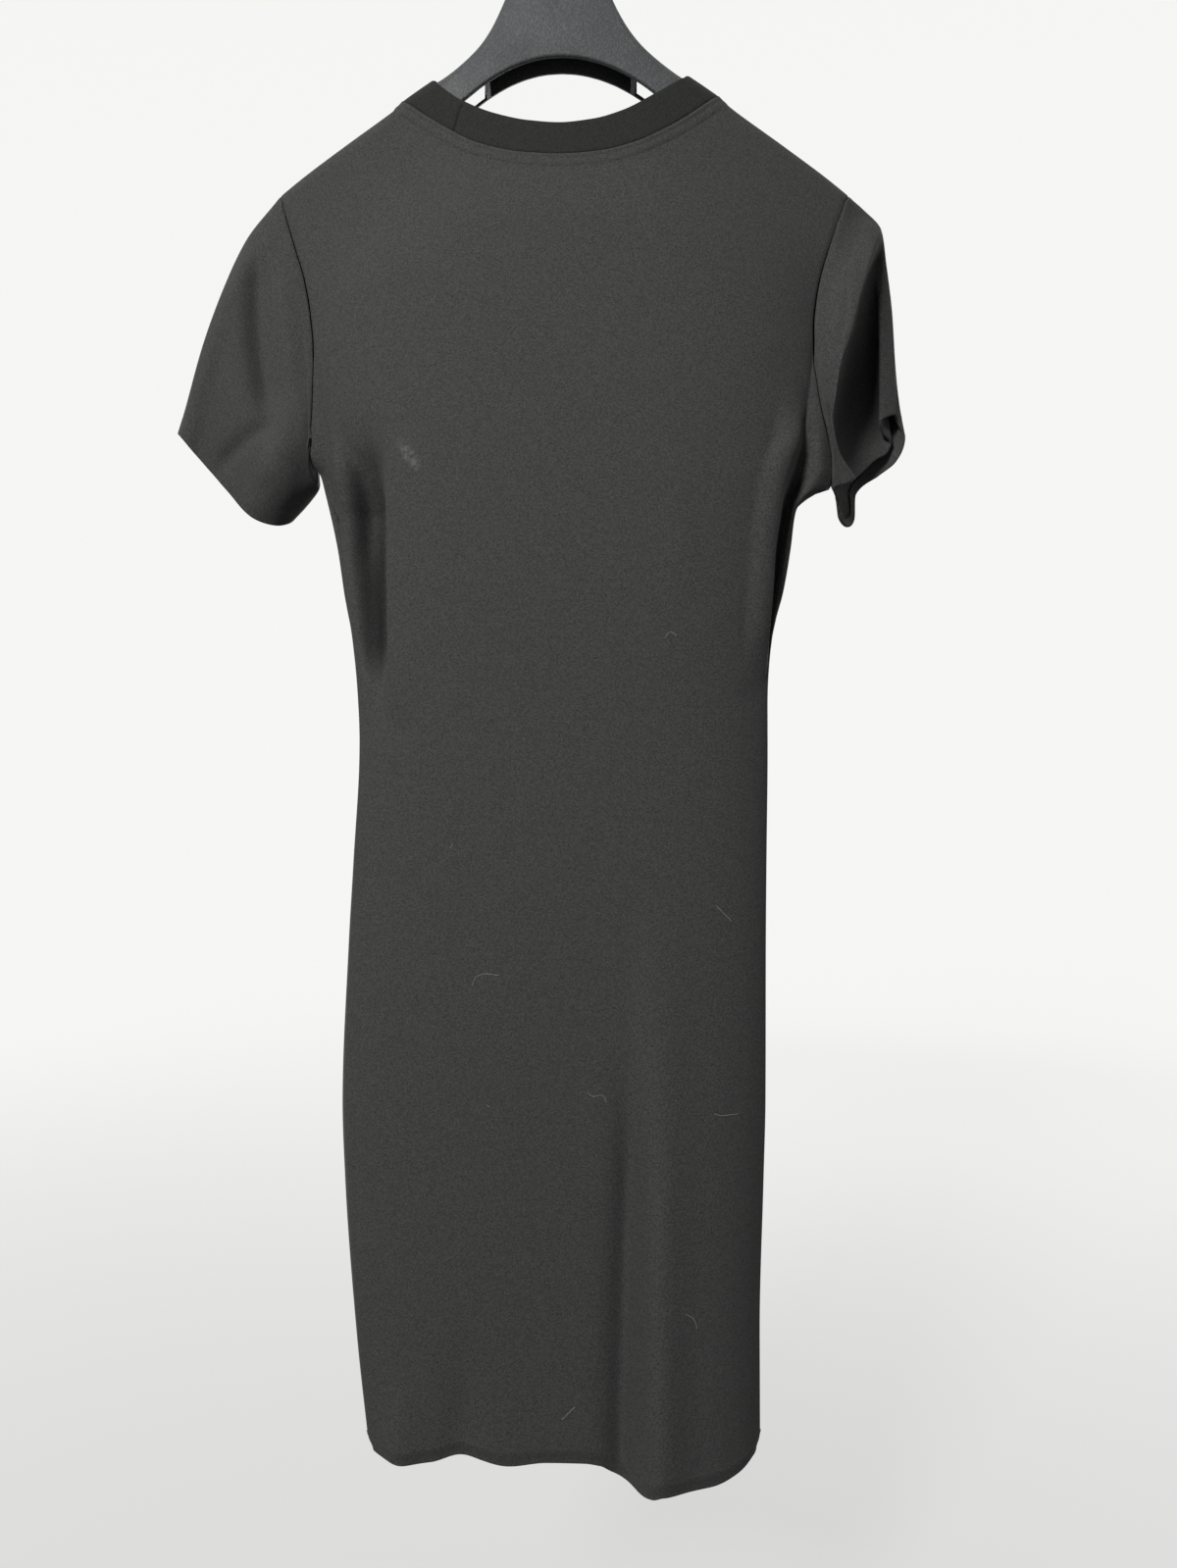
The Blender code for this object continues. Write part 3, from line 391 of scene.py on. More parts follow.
def tube_depth(x, z, face):
    """Depth of the plain tube of the body, bent to its seam near the edge."""
    half = np.where(x < 0, TUBE.at("left", z), TUBE.at("right", z))
    side_y, middle_y = TUBE.at(face, z), MIDDLE.at(face, z)
    fullness, roundness = MIDDLE.at("fullness", z), MIDDLE.at("roundness", z)

    def plain(place):
        reach = np.minimum(abs(place) / half, 1.0)
        return mix(side_y, middle_y, np.maximum(1 - reach ** fullness, 0) ** (1 / roundness))

    edge_x = edge_at(x, "x", z)
    inward = (abs(edge_x) - abs(x)) / EDGE_REACH
    return plain(x) + (edge_at(x, face, z) - plain(edge_x)) * np.exp(-inward ** 2)


def fold_offset(table, lines, side, x, z):
    """How far the hollow beside one armpit sets the back in or out."""
    hold = np.maximum(table.at("hold", z), 0)
    places = [edge_at(np.full_like(z, side), "x", z)]
    offsets = [np.zeros_like(z)]
    for line in lines:
        line_x = table.at(line, z)
        places.append(line_x)
        offsets.append(hold * (table.at(line + "_y", z) - tube_depth(line_x, z, "back")))
    places.append(places[-1] - FOLD_FADE * side)
    offsets.append(np.zeros_like(z))
    if side > 0:
        places.reverse()
        offsets.reverse()
    return read_between(np.stack(places, -1), np.stack(offsets, -1), x)


def side_fold(x, z):
    left = fold_offset(LEFT_FOLD, LEFT_LINES, -1, x, z)
    right = fold_offset(RIGHT_FOLD, RIGHT_LINES, 1, x, z)
    return np.where(x < 0, left, right)


def hanging_fold(x, z, folds):
    """How far the folds that hang to the hem push the cloth; the side seams stay where they are."""
    push = np.zeros_like(x)
    for x_hem, x_top, width, depth, top in folds:
        down = ease((top - z) / (top - HEM_Z))
        push += depth * down * np.exp(-((x - mix(x_top, x_hem, down)) / width) ** 2)
    inward = abs(edge_at(x, "x", z)) - abs(x)
    return push * (1 - np.exp(-(inward / FOLD_PIN) ** 2))


def panel_depth(x, z, face):
    """Depth of a panel with all its folds."""
    tube = tube_depth(x, z, face)
    side = -1 if face == "back" else 1
    if face == "back":
        tube = tube + side_fold(x, z) + hanging_fold(x, z, HANGING_FOLDS)
        tube = tube + sum(crease_push(x, z, crease) for crease in BACK_CREASES)
    else:
        tube = tube + hanging_fold(x, z, FRONT_FOLDS)
        tube = tube - sum(crease_push(x, z, crease) for crease in FRONT_CREASES)
    drop = np.maximum(ridge_z(x) - z, 0)
    wrap = np.where(drop >= WRAP, WRAP, np.sqrt(np.maximum(WRAP ** 2 - (WRAP - drop) ** 2, 0)))
    return mix(arm_y(x) + side * wrap, tube, ease((drop - ARM_BLEND_START) / ARM_BLEND))


def seam_angle(face):
    half_gap = SHOULDER_GAP / 2 / WRAP
    return SHOULDER_SEAM + half_gap if face == "back" else SHOULDER_SEAM - half_gap


def on_arm(x, angle):
    """Point on the turn over the arm; angle 0 is the ridge and plus is toward the back."""
    turned = (x, arm_y(x) - WRAP * np.sin(angle), ridge_z(x) - WRAP * (1 - np.cos(angle)))
    return np.stack(np.broadcast_arrays(*turned), axis=-1)


# %% [markdown]
# ## A grid of cloth
#
# A panel is a net of columns that run up the body and rows that run across it. Below the yoke
# the columns keep to the fold lines. Above it they swing to their own ends: on a shoulder
# seam, or at the neckline. So the edges of the net are the edges of the cloth, and no cloth
# has to be cut away.

# %% Rows from the hem to the yoke, and columns from the yoke up
HEM_ROWS = tuple(HEM_Z + 1.4 * k for k in range(12))     # close together, for the stitches
SKIRT_TOP = -640.0
SKIRT_ROWS = 88
CHEST_ROWS = 78
WALL_ROWS = 46
CAP_ROWS = 24


def lower_heights():
    skirt = np.linspace(HEM_ROWS[-1], SKIRT_TOP, SKIRT_ROWS + 1)[1:]
    chest = np.linspace(SKIRT_TOP, YOKE_Z, CHEST_ROWS + 1)[1:]
    return np.concatenate([HEM_ROWS, skirt, chest])[:, None]


def upper_rows(x_low, x_top, wall, arc, widest, face):
    """Points of all the columns from the yoke up to the shoulder or the neckline."""
    side = 1 if face == "back" else -1
    total = wall + arc
    cap = np.maximum(arc, CAP_SHARE * total)
    wall_share = np.arange(1, WALL_ROWS + 1)[:, None] / WALL_ROWS
    cap_share = np.arange(1, CAP_ROWS + 1)[:, None] / CAP_ROWS
    steps = np.concatenate([(total - cap) * wall_share, total - cap + cap * cap_share])
    low = x_low / abs(edge_at(x_low, "x", np.full_like(x_low, YOKE_Z)))
    ratio = mix(low, x_top / widest, ease(steps / total))
    z = YOKE_Z + np.minimum(steps, wall)
    x = ratio * abs(edge_at(ratio, "x", z))
    on_wall = np.stack([x, panel_depth(x, z, face), z], axis=-1)
    angle = side * (math.pi / 2 - (steps - wall) / WRAP)
    turned_z = ridge_z(ratio * TIP_X) - WRAP * (1 - np.cos(angle))
    turned = on_arm(ratio * abs(edge_at(ratio, "x", turned_z)), angle)
    return np.where((steps > wall + 1e-6)[..., None], turned, on_wall)


# %% The net of the back
BACK_PARTS = (6, 9, 10, 10, 112, 9, 5, 6)     # columns between each fold line and the next
HEM_WAVE_TOP = -1030.0                        # the hem's wave has died out up here


def spread(parts):
    """Even steps inside each part, one after another; part k runs from k to k + 1."""
    runs = [np.linspace(k, k + 1, count, endpoint=False) for k, count in enumerate(parts)]
    return np.concatenate(runs + [[len(parts)]])


def back_line_x(c, z):
    """Place of the columns of the back, numbered along its fold lines, at each height."""
    places = [(LEFT_EDGE, "x")] + [(LEFT_FOLD, name) for name in LEFT_LINES]
    places += [(RIGHT_FOLD, name) for name in RIGHT_LINES[::-1]] + [(RIGHT_EDGE, "x")]
    lines = np.stack([table.at(name, z[:, 0]) for table, name in places], axis=1)
    i = np.minimum(c.astype(int), lines.shape[1] - 2)
    return mix(lines[:, i], lines[:, i + 1], c - i)


def back_net():
    c = spread(BACK_PARTS)
    z = lower_heights()
    x = back_line_x(c, z)
    z = np.broadcast_to(z, x.shape)
    drop = (BACK_HEM.at("z", x) - HEM_Z) * ease((z - HEM_WAVE_TOP) / (HEM_Z - HEM_WAVE_TOP))
    lower = np.stack([x, panel_depth(x, z, "back"), z + drop], axis=-1)
    left_tip, right_tip = NECK_X - NECK_HALF, NECK_X + NECK_HALF
    place = smooth_read(np.linspace(0, 1, len(NECK_PLACES)), NECK_PLACES, c - 4)
    neck = (c > 4) & (c < 5)
    x_top = np.where(c <= 4, mix(-TIP_X, left_tip, c / 4), mix(right_tip, TIP_X, (c - 5) / 3))
    x_top = np.where(neck, mix(left_tip, right_tip, place), x_top)
    below = ridge_z(x_top) - BACK_NECK.at("z", x_top)
    angle = np.where(neck, np.arccos(np.clip(1 - below / WRAP, 0, 1)), seam_angle("back"))
    wall_top = ridge_z(x_top) - WRAP
    wall_top = np.where(neck, np.minimum(wall_top, BACK_NECK.at("z", x_top)), wall_top)
    arc = WRAP * (math.pi / 2 - angle)
    upper = upper_rows(x[-1], x_top, wall_top - YOKE_Z, arc, TIP_X, "back")
    return np.concatenate([lower, upper]), neck


# %% The net of the front
FRONT_SIDE_COLUMNS = 38
FRONT_TURN_COLUMNS = 12
FRONT_MIDDLE_COLUMNS = 46


def front_neck(theta, inset):
    """Points of the front neckline, theta from 0 at the right to pi at the left."""
    start = BAND_TIP_HALF - NECK_TURN if inset else NECK_HALF - NECK_TURN
    low = FRONT_EDGE_LOW if inset else FRONT_NECK_LOW
    high = ridge_z(NECK_X + start) - WRAP
    return NECK_X + start * np.cos(theta), mix(high, low, np.sin(theta))


def front_net():
    t = np.linspace(0, 1, FRONT_SIDE_COLUMNS)
    turn = np.linspace(0, 1, FRONT_TURN_COLUMNS + 1)[1:]
    ratio = np.concatenate([smooth_read(np.linspace(0, 1, len(FRONT_SIDE)), FRONT_SIDE, t),
                            mix(FRONT_SIDE[-1], FRONT_TURN_END, turn)])
    half_x = np.concatenate([mix(TIP_X, NECK_HALF, t), NECK_HALF - NECK_TURN * turn])
    shift = NECK_X * np.concatenate([t, np.ones_like(turn)])
    seam = seam_angle("front")
    angle = np.concatenate([np.full_like(t, seam), mix(seam, -math.pi / 2, turn)])
    theta = np.linspace(math.pi, 0, FRONT_MIDDLE_COLUMNS + 2)[1:-1]
    neck_x, neck_z = front_neck(theta, inset=False)
    ratio = np.concatenate([-ratio, FRONT_TURN_END * np.cos(theta), ratio[::-1]])
    x_top = np.concatenate([shift - half_x, neck_x, (shift + half_x)[::-1]])
    middle = np.zeros_like(theta)
    arc = WRAP * np.concatenate([math.pi / 2 + angle, middle, math.pi / 2 + angle[::-1]])
    wall_top = ridge_z(x_top) - WRAP
    wall_top[len(angle):-len(angle)] = neck_z
    wide = np.full_like(x_top, TIP_X)
    wide[len(angle):-len(angle)] = abs(edge_at(neck_x, "x", neck_z))
    z = lower_heights()
    x = abs(ratio) * edge_at(ratio, "x", z)
    z = np.broadcast_to(z, x.shape)
    lower = np.stack([x, panel_depth(x, z, "front"), z], axis=-1)
    upper = upper_rows(x[-1], x_top, wall_top - YOKE_Z, arc, wide, "front")
    neck = np.zeros(len(ratio), bool)
    neck[FRONT_SIDE_COLUMNS:-FRONT_SIDE_COLUMNS] = True
    return np.concatenate([lower, upper]), neck


back_points, back_neck_columns = back_net()
front_points, front_neck_columns = front_net()
print("back net", back_points.shape, "front net", front_points.shape)

# %% [markdown]
# ## The sleeves
#
# A sleeve is a closed net. Its first ring lies on the armhole, which the two panels already
# have, and its other rings follow a few lines that run from there to the cuff. Between the
# lines the net is read on a closed smooth curve.

# %% Rings of a sleeve
LEAD_SMOOTH = 5             # the way off the armhole is smoothed over this many points either side
CUFF_HEM = 15.0             # depth of the turned hem at a cuff
CUFF_MARGIN = 3.0
CUFF_ROWS = 13


def armhole_loop(back, front, armpit_z):
    """An armhole's points from the back's top down to the armpit and up the front, with places."""
    back_part, front_part = back[::-1], front
    back_part = back_part[back_part[:, 2] >= armpit_z]
    front_part = front_part[front_part[:, 2] >= armpit_z]
    loop = np.concatenate([back_part, front_part[1:-1]])
    travel = travel_along(np.concatenate([loop, loop[:1]]))
    armpit = travel[len(back_part) - 1]
    ridge = travel[-1] - WRAP * SHOULDER_SEAM
    down = armpit + travel[-1] - ridge
    at = travel[:-1]
    places = np.where(at <= armpit, 0.5 * (at + travel[-1] - ridge) / down,
                      0.5 + 0.5 * (at - armpit) / (ridge - armpit)) % 1.0
    return loop, places


def read_loop(points, places, at):
    """Points of a closed loop at places from 0 to 1."""
    return by_axis(lambda values: np.interp(at, places, values, period=1), points)


def closed_read(places, values, at):
    """The same on a smooth curve through a few points."""
    count = len(places)
    keys = np.array([places[i % count] + i // count - 1 for i in range(3 * count)])
    loop = np.array([values[i % count] for i in range(3 * count)], float)
    i = np.searchsorted(keys, at, side="right") - 1
    span = (keys[i + 1] - keys[i])[:, None]
    out = (loop[i + 1] - loop[i - 1]) / (keys[i + 1] - keys[i - 1])[:, None]
    into = (loop[i + 2] - loop[i]) / (keys[i + 2] - keys[i])[:, None]
    return hermite((at - keys[i])[:, None] / span, span, loop[i], loop[i + 1], out, into)


def square_to(tangent, vectors):
    """Unit vectors with what runs along the tangent taken out."""
    return unit(vectors - tangent * (vectors * tangent).sum(-1, keepdims=True))


def sleeve_net(x_side, lines, around, shares):
    """Closed rings of a sleeve from the armhole to the cuff."""
    column, beside = (0, 1) if x_side < 0 else (-1, -2)
    armpit_z = LEFT_ARMPIT_Z if x_side < 0 else RIGHT_ARMPIT_Z
    loop, places = armhole_loop(back_points[:, column], front_points[:, column], armpit_z)
    inner, inner_places = armhole_loop(back_points[:, beside], front_points[:, beside], armpit_z)
    at = np.arange(around) / around
    edge = read_loop(loop, places, at)
    inside = read_loop(inner, inner_places, at)
    lines = np.array(lines)
    places_on_lines = lines[:, 1:].reshape(len(lines), -1, 3).swapaxes(0, 1)
    knots = [closed_read(lines[:, 0], places, at) for places in places_on_lines]
    tangent = unit(np.roll(edge, -1, axis=0) - np.roll(edge, 1, axis=0))
    across = square_to(tangent, knots[0] - edge)
    nearby = range(-LEAD_SMOOTH, LEAD_SMOOTH + 1)
    across = unit(sum(np.roll(across, k, axis=0) for k in nearby))
    panel = square_to(tangent, edge - inside)
    turn = np.arccos(np.clip((panel * across).sum(-1), 0, 1))
    start = edge + across * (SEAM_GAP + CLOTH * np.tan(turn / 2))[:, None]
    knots = np.stack([start] + knots, axis=1)
    lengths = travel_along(knots, axis=1)
    rings = []
    for share in shares:
        travel = lengths[:, -1] * share
        rings.append(by_axis(lambda values: read_between(lengths, values, travel), knots))
    return np.stack(rings)


def sleeve_shares(rows, length):
    """Shares of a sleeve's length: close together over the cuff's hem, where stitches lie."""
    hem = (CUFF_HEM + CUFF_MARGIN) / length
    cuff = np.linspace(1 - hem, 1, CUFF_ROWS + 1)[1:]
    return np.concatenate([np.linspace(0, 1 - hem, rows), cuff])


left_points = sleeve_net(-1, LEFT_SLEEVE, 168, sleeve_shares(78, 150))
right_points = sleeve_net(1, RIGHT_SLEEVE, 196, sleeve_shares(78, 120))
print("sleeve nets", left_points.shape, right_points.shape)

# %% [markdown]
# ## Relief, seams and hems
#
# Three small moves make cloth look sewn. Near a seam the cloth rolls inward into its seam
# allowance, which leaves a fine dark line where two pieces meet. At a hem the cloth turns back
# inside itself, so the edge is round and two layers thick. And a row of stitches pulls a
# shallow groove, with the cloth a little proud on one side where an allowance lies beneath.

# %% Normals, distances and relief
PROUD_PAST = 0.4            # the allowance ends this far past the stitches, and fades this fast
PROUD_FADE = 1.2
GROOVE_WIDTH = 0.75


def normals_of(net, outward, closed=False):
    """Unit normals of a net, on the side of it that outward (1 or -1) picks."""
    if closed:
        across = np.roll(net, -1, axis=1) - np.roll(net, 1, axis=1)
    else:
        across = np.gradient(net, axis=1)
    return unit(np.cross(across, np.gradient(net, axis=0)) * outward)


def travel_from(net, from_end):
    """Distance along the columns from the first row, or from the last."""
    return travel_along(net[::-1])[::-1] if from_end else travel_along(net)


def distance_to(points, line):
    """Shortest distance from points to a line through space."""
    start, step = line[:-1], np.diff(line, axis=0)
    apart = points[..., None, :] - start
    t = np.clip((apart * step).sum(-1) / np.maximum((step ** 2).sum(-1), 1e-9), 0, 1)
    return np.linalg.norm(apart - t[..., None] * step, axis=-1).min(axis=-1)


def stitched_relief(distance, stitch_at, proud, groove):
    """Height of cloth beside a sewn edge: proud up to just past the stitches, with their groove."""
    step = proud * (1 - ease((distance - stitch_at - PROUD_PAST) / PROUD_FADE))
    return step - groove * np.exp(-((distance - stitch_at) / GROOVE_WIDTH) ** 2)


# %% Turning the edges of a net
HEM_RADIUS = 0.62
BENDS = [math.radians(angle) for angle in (30, 60, 90, 120, 150)]
ROLL = ((-0.62, 0.1), (-0.4, 0.34))     # steps of a seam's roll: along the cloth, and inward
ROLL_END = 0.5


def sided(net, side):
    """The net turned so that the named side is its last row."""
    turned = net if side in ("end", "start") else net.swapaxes(0, 1)
    return turned[::-1] if side in ("start", "left") else turned


def unsided(net, side):
    net = net[::-1] if side in ("start", "left") else net
    return net if side in ("end", "start") else net.swapaxes(0, 1)


def extend(cloth, side, rows, added):
    """Put new rows past one side of a cloth, with the normals of its old edge."""
    normals = sided(cloth[1], side)
    kept = normals[:len(rows)]
    normals = np.concatenate([kept, np.repeat(kept[-1:], len(added), axis=0)])
    return unsided(np.concatenate([rows, np.stack(added)]), side), unsided(normals, side)


def roll_seam(cloth, side, depth, toward=None):
    """Roll one side of a cloth inward into a seam allowance of this depth, or depths."""
    rows, inward = sided(cloth[0], side), -sided(cloth[1], side)[-1]
    toward = inward if toward is None else toward
    lead = unit(rows[-1] - rows[-2])
    depth = np.broadcast_to(depth, (rows.shape[1],))[:, None]
    added = [rows[-1] + lead * along + inward * down for along, down in ROLL]
    added += [added[-1] + toward * (ROLL_END + depth * share) for share in (0, 0.3, 1.0)]
    return extend(cloth, side, rows[:-1], added)


def turn_hem(cloth, side, depth):
    """Turn one side of a cloth back inside itself for a hem of this depth."""
    rows, inward = sided(cloth[0], side), -sided(cloth[1], side)
    lead = unit(rows[-1] - rows[-2])
    back = travel_from(rows, from_end=True)
    kept = back.mean(axis=1) <= depth
    added = [rows[-1] + lead * HEM_RADIUS * math.sin(a)
             + inward[-1] * HEM_RADIUS * (1 - math.cos(a)) for a in BENDS]
    added += list((rows + inward * 2 * HEM_RADIUS)[kept][::-1])
    return extend(cloth, side, rows, added)


# %% A net becomes an object
def add_object(name, data):
    made = bpy.data.objects.new(name, data)
    bpy.context.scene.collection.objects.link(made)
    return made


def settled_mesh(made):
    """A plain mesh of what an object's modifiers make."""
    graph = bpy.context.evaluated_depsgraph_get()
    return bpy.data.meshes.new_from_object(made.evaluated_get(graph))


def cloth_object(name, net, outward, closed, thickness, material):
    """One surface with a wall, and a map in metres along the cloth for its grain."""
    rows, columns = net.shape[:2]
    index = np.arange(rows * columns).reshape(rows, columns)
    if closed:
        index = np.concatenate([index, index[:, :1]], axis=1)
    quads = np.stack([index[:-1, :-1], index[:-1, 1:], index[1:, 1:], index[1:, :-1]], axis=-1)
    wrapped = np.concatenate([net, net[:, :1]], axis=1) if closed else net
    u = travel_along(wrapped, axis=1)
    u -= u[:, u.shape[1] // 2][:, None]
    v = travel_along(wrapped)
    uv = np.stack([u, v], axis=-1) * MM
    corners = np.stack([uv[:-1, :-1], uv[:-1, 1:], uv[1:, 1:], uv[1:, :-1]], axis=2)
    if outward < 0:
        quads, corners = quads[..., ::-1], corners[:, :, ::-1]
    mesh = bpy.data.meshes.new(name)
    mesh.from_pydata((net * MM).reshape(-1, 3).tolist(), [], quads.reshape(-1, 4).tolist())
    layer = mesh.uv_layers.new(name="cloth")
    layer.data.foreach_set("uv", corners.reshape(-1, 2).astype(np.float32).ravel())
    mesh.shade_smooth()
    mesh.materials.append(material)
    made = add_object(name, mesh)
    wall = made.modifiers.new("wall", "SOLIDIFY")
    wall.thickness = thickness * MM
    wall.offset = 0
    return made


# %% [markdown]
# ## Materials
#
# Scuba is a double knit of fine polyester: matt, dense and almost without a grain, with a
# soft bloom where light grazes it. Colours are given as the eye reads them on a screen and
# turned to linear light. One helper adds a node, sets it and links it.

# %% Node helpers
def linear(hex_colour):
    """A screen colour such as 3a3a39 as linear light."""
    parts = [int(hex_colour[i:i + 2], 16) / 255 for i in (0, 2, 4)]
    return (*(p / 12.92 if p <= 0.04045 else ((p + 0.055) / 1.055) ** 2.4 for p in parts), 1.0)


def node(tree, kind, settings=None, inputs=None):
    """Add a node with its settings; an input is a value, or a socket to link from."""
    made = tree.nodes.new(kind)
    for key, value in (settings or {}).items():
        setattr(made, key, value)
    for key, value in (inputs or {}).items():
        if isinstance(value, bpy.types.NodeSocket):
            tree.links.new(value, made.inputs[key])
        else:
            made.inputs[key].default_value = value
    return made


def new_material(name, **values):
    """A Principled material with plain values on its own sockets."""
    made = bpy.data.materials.new(name)
    made.use_nodes = True
    tree = made.node_tree
    shader = tree.nodes["Principled BSDF"]
    for key, value in values.items():
        shader.inputs[key.replace("_", " ")].default_value = value
    return made, tree, shader


# %% Scuba knit
GRAIN_MM = 0.9              # the knit's loops are 0.5 mm; drawn coarser, to show from a step away
SPECKLE_MM = 2.2            # tufts of chalk that cling to a few loops at once


def knit_material(name, dark, light, smudge=None):
    """Matt polyester double knit; a smudge is (x, z, half length, half width, slope) in mm."""
    made, tree, shader = new_material(
        name, Roughness=0.85, Specular_IOR_Level=0.12, Sheen_Weight=0.03, Sheen_Roughness=0.5)
    cloth = node(tree, "ShaderNodeUVMap", {"uv_map": "cloth"}).outputs["UV"]
    soft = node(tree, "ShaderNodeTexNoise", inputs={
        "Vector": cloth, "Scale": 1000 / (1.4 * GRAIN_MM), "Detail": 2.0, "Roughness": 0.65})
    loops = node(tree, "ShaderNodeTexVoronoi", inputs={"Vector": cloth, "Scale": 1000 / GRAIN_MM})
    speck = node(tree, "ShaderNodeSeparateColor", inputs={0: loops.outputs["Color"]})
    fine = node(tree, "ShaderNodeMath", {"operation": "MULTIPLY_ADD"}, {
        0: speck.outputs[0], 1: 0.4, 2: soft.outputs[0]})
    tone = node(tree, "ShaderNodeMapRange", inputs={
        "Value": fine.outputs[0], "From Min": 0.25, "From Max": 1.15})
    colour = node(tree, "ShaderNodeMix", {"data_type": "RGBA"}, {
        0: tone.outputs[0], 6: linear(dark), 7: linear(light)})
    result = colour.outputs[2]
    if smudge:
        result = add_smudge(tree, result, smudge)
    tree.links.new(result, shader.inputs["Base Color"])
    bump = node(tree, "ShaderNodeBump", inputs={
        "Height": fine.outputs[0], "Strength": 0.4, "Distance": 0.2 * MM})
    tree.links.new(bump.outputs[0], shader.inputs["Normal"])
    return made


def add_smudge(tree, colour, smudge):
    """A chalky rubbed mark, where lint has caught on the knit."""
    x, z, half_length, half_width, slope = smudge
    place = node(tree, "ShaderNodeTexCoord").outputs["Object"]
    turned = node(tree, "ShaderNodeMapping", {"vector_type": "TEXTURE"}, {
        "Vector": place, "Location": (x * MM, 0, z * MM), "Rotation": (0, slope, 0),
        "Scale": (half_length * MM, 1.0, half_width * MM)})
    flat = node(tree, "ShaderNodeVectorMath", {"operation": "MULTIPLY"}, {
        0: turned.outputs[0], 1: (1, 0, 1)})
    length = node(tree, "ShaderNodeVectorMath", {"operation": "LENGTH"}, {0: flat.outputs[0]})
    inside = node(tree, "ShaderNodeMapRange", {"interpolation_type": "SMOOTHSTEP"}, {
        "Value": length.outputs["Value"], "From Min": 0.2, "From Max": 1.0,
        "To Min": 1.0, "To Max": 0.0})
    speckle = node(tree, "ShaderNodeTexNoise", inputs={
        "Vector": place, "Scale": 1000 / SPECKLE_MM, "Detail": 3.0})
    worn = node(tree, "ShaderNodeMapRange", inputs={
        "Value": speckle.outputs[0], "From Min": 0.36, "From Max": 0.7, "To Max": 0.36})
    amount = node(tree, "ShaderNodeMath", {"operation": "MULTIPLY"}, {
        0: inside.outputs[0], 1: worn.outputs[0]})
    marked = node(tree, "ShaderNodeMix", {"data_type": "RGBA"}, {
        0: amount.outputs[0], 6: colour, 7: linear("8d8b89")})
    return marked.outputs[2]


KNIT_DARK, KNIT_LIGHT = "252525", "4c4c4b"
knit = knit_material("Scuba knit, charcoal", KNIT_DARK, KNIT_LIGHT)
knit_back = knit_material("Scuba knit, charcoal, rubbed", KNIT_DARK, KNIT_LIGHT,
                          smudge=(-104, -438, 17, 6.0, math.radians(58)))
band_knit = knit_material("Scuba knit, pressed band", "181817", "2f2f2e")

# %% Moulded plastic, plated wire and thread
PEBBLE_MM = 1.5             # the tool's grain is about 0.3 mm; drawn coarser, to show
HANDLING_MM = 30.0          # patches that hands have rubbed a little smoother
RUB_MM = 3.0
TWIST_MM = 0.8


def plastic_material():
    """Polystyrene moulded in a blasted tool: a fine pebbled grain and a low, broad shine."""
    made, tree, shader = new_material(
        "Moulded polystyrene, dark grey", Roughness=0.6, Specular_IOR_Level=0.25)
    place = node(tree, "ShaderNodeTexCoord").outputs["Object"]
    pebble = node(tree, "ShaderNodeTexVoronoi", inputs={
        "Vector": place, "Scale": 1000 / PEBBLE_MM})
    broad = node(tree, "ShaderNodeTexNoise", inputs={
        "Vector": place, "Scale": 1000 / HANDLING_MM, "Detail": 3.0})
    rough = node(tree, "ShaderNodeMapRange", inputs={
        "Value": broad.outputs[0], "From Min": 0.3, "From Max": 0.7,
        "To Min": 0.54, "To Max": 0.68})
    colour = node(tree, "ShaderNodeMix", {"data_type": "RGBA"}, {
        0: pebble.outputs["Distance"], 6: linear("2f3031"), 7: linear("4d4e4f")})
    bump = node(tree, "ShaderNodeBump", inputs={
        "Height": pebble.outputs["Distance"], "Strength": 0.6, "Distance": 0.3 * MM})
    tree.links.new(colour.outputs[2], shader.inputs["Base Color"])
    tree.links.new(rough.outputs[0], shader.inputs["Roughness"])
    tree.links.new(bump.outputs[0], shader.inputs["Normal"])
    return made


def chrome_material():
    """Bright nickel-chrome plate on drawn wire, with fine rub marks along it."""
    made, tree, shader = new_material(
        "Chromed steel wire", Metallic=1.0, Roughness=0.22, Base_Color=linear("858689"))
    place = node(tree, "ShaderNodeTexCoord").outputs["Object"]
    rub = node(tree, "ShaderNodeTexNoise", inputs={
        "Vector": place, "Scale": 1000 / RUB_MM, "Detail": 4.0})
    rough = node(tree, "ShaderNodeMapRange", inputs={
        "Value": rub.outputs[0], "From Min": 0.35, "From Max": 0.65, "To Min": 0.16, "To Max": 0.3})
    tree.links.new(rough.outputs[0], shader.inputs["Roughness"])
    return made


def thread_material():
    """Spun polyester thread, a little brighter than the knit where it catches light."""
    made, tree, shader = new_material(
        "Spun polyester thread", Roughness=0.6, Specular_IOR_Level=0.35)
    place = node(tree, "ShaderNodeTexCoord").outputs["Object"]
    twist = node(tree, "ShaderNodeTexNoise", inputs={
        "Vector": place, "Scale": 1000 / TWIST_MM, "Detail": 2.0})
    colour = node(tree, "ShaderNodeMix", {"data_type": "RGBA"}, {
        0: twist.outputs[0], 6: linear("242424"), 7: linear("3c3c3c")})
    tree.links.new(colour.outputs[2], shader.inputs["Base Color"])
    return made


plastic = plastic_material()
chrome = chrome_material()
thread = thread_material()

# %% [markdown]
# ## Sewing the pieces
#
# Each net gets its relief, then its edges are turned, and a Solidify modifier gives it the
# thickness of one layer. The allowances are shallow where the hanger's arm leaves no room
# beneath the cloth, and deeper elsewhere.

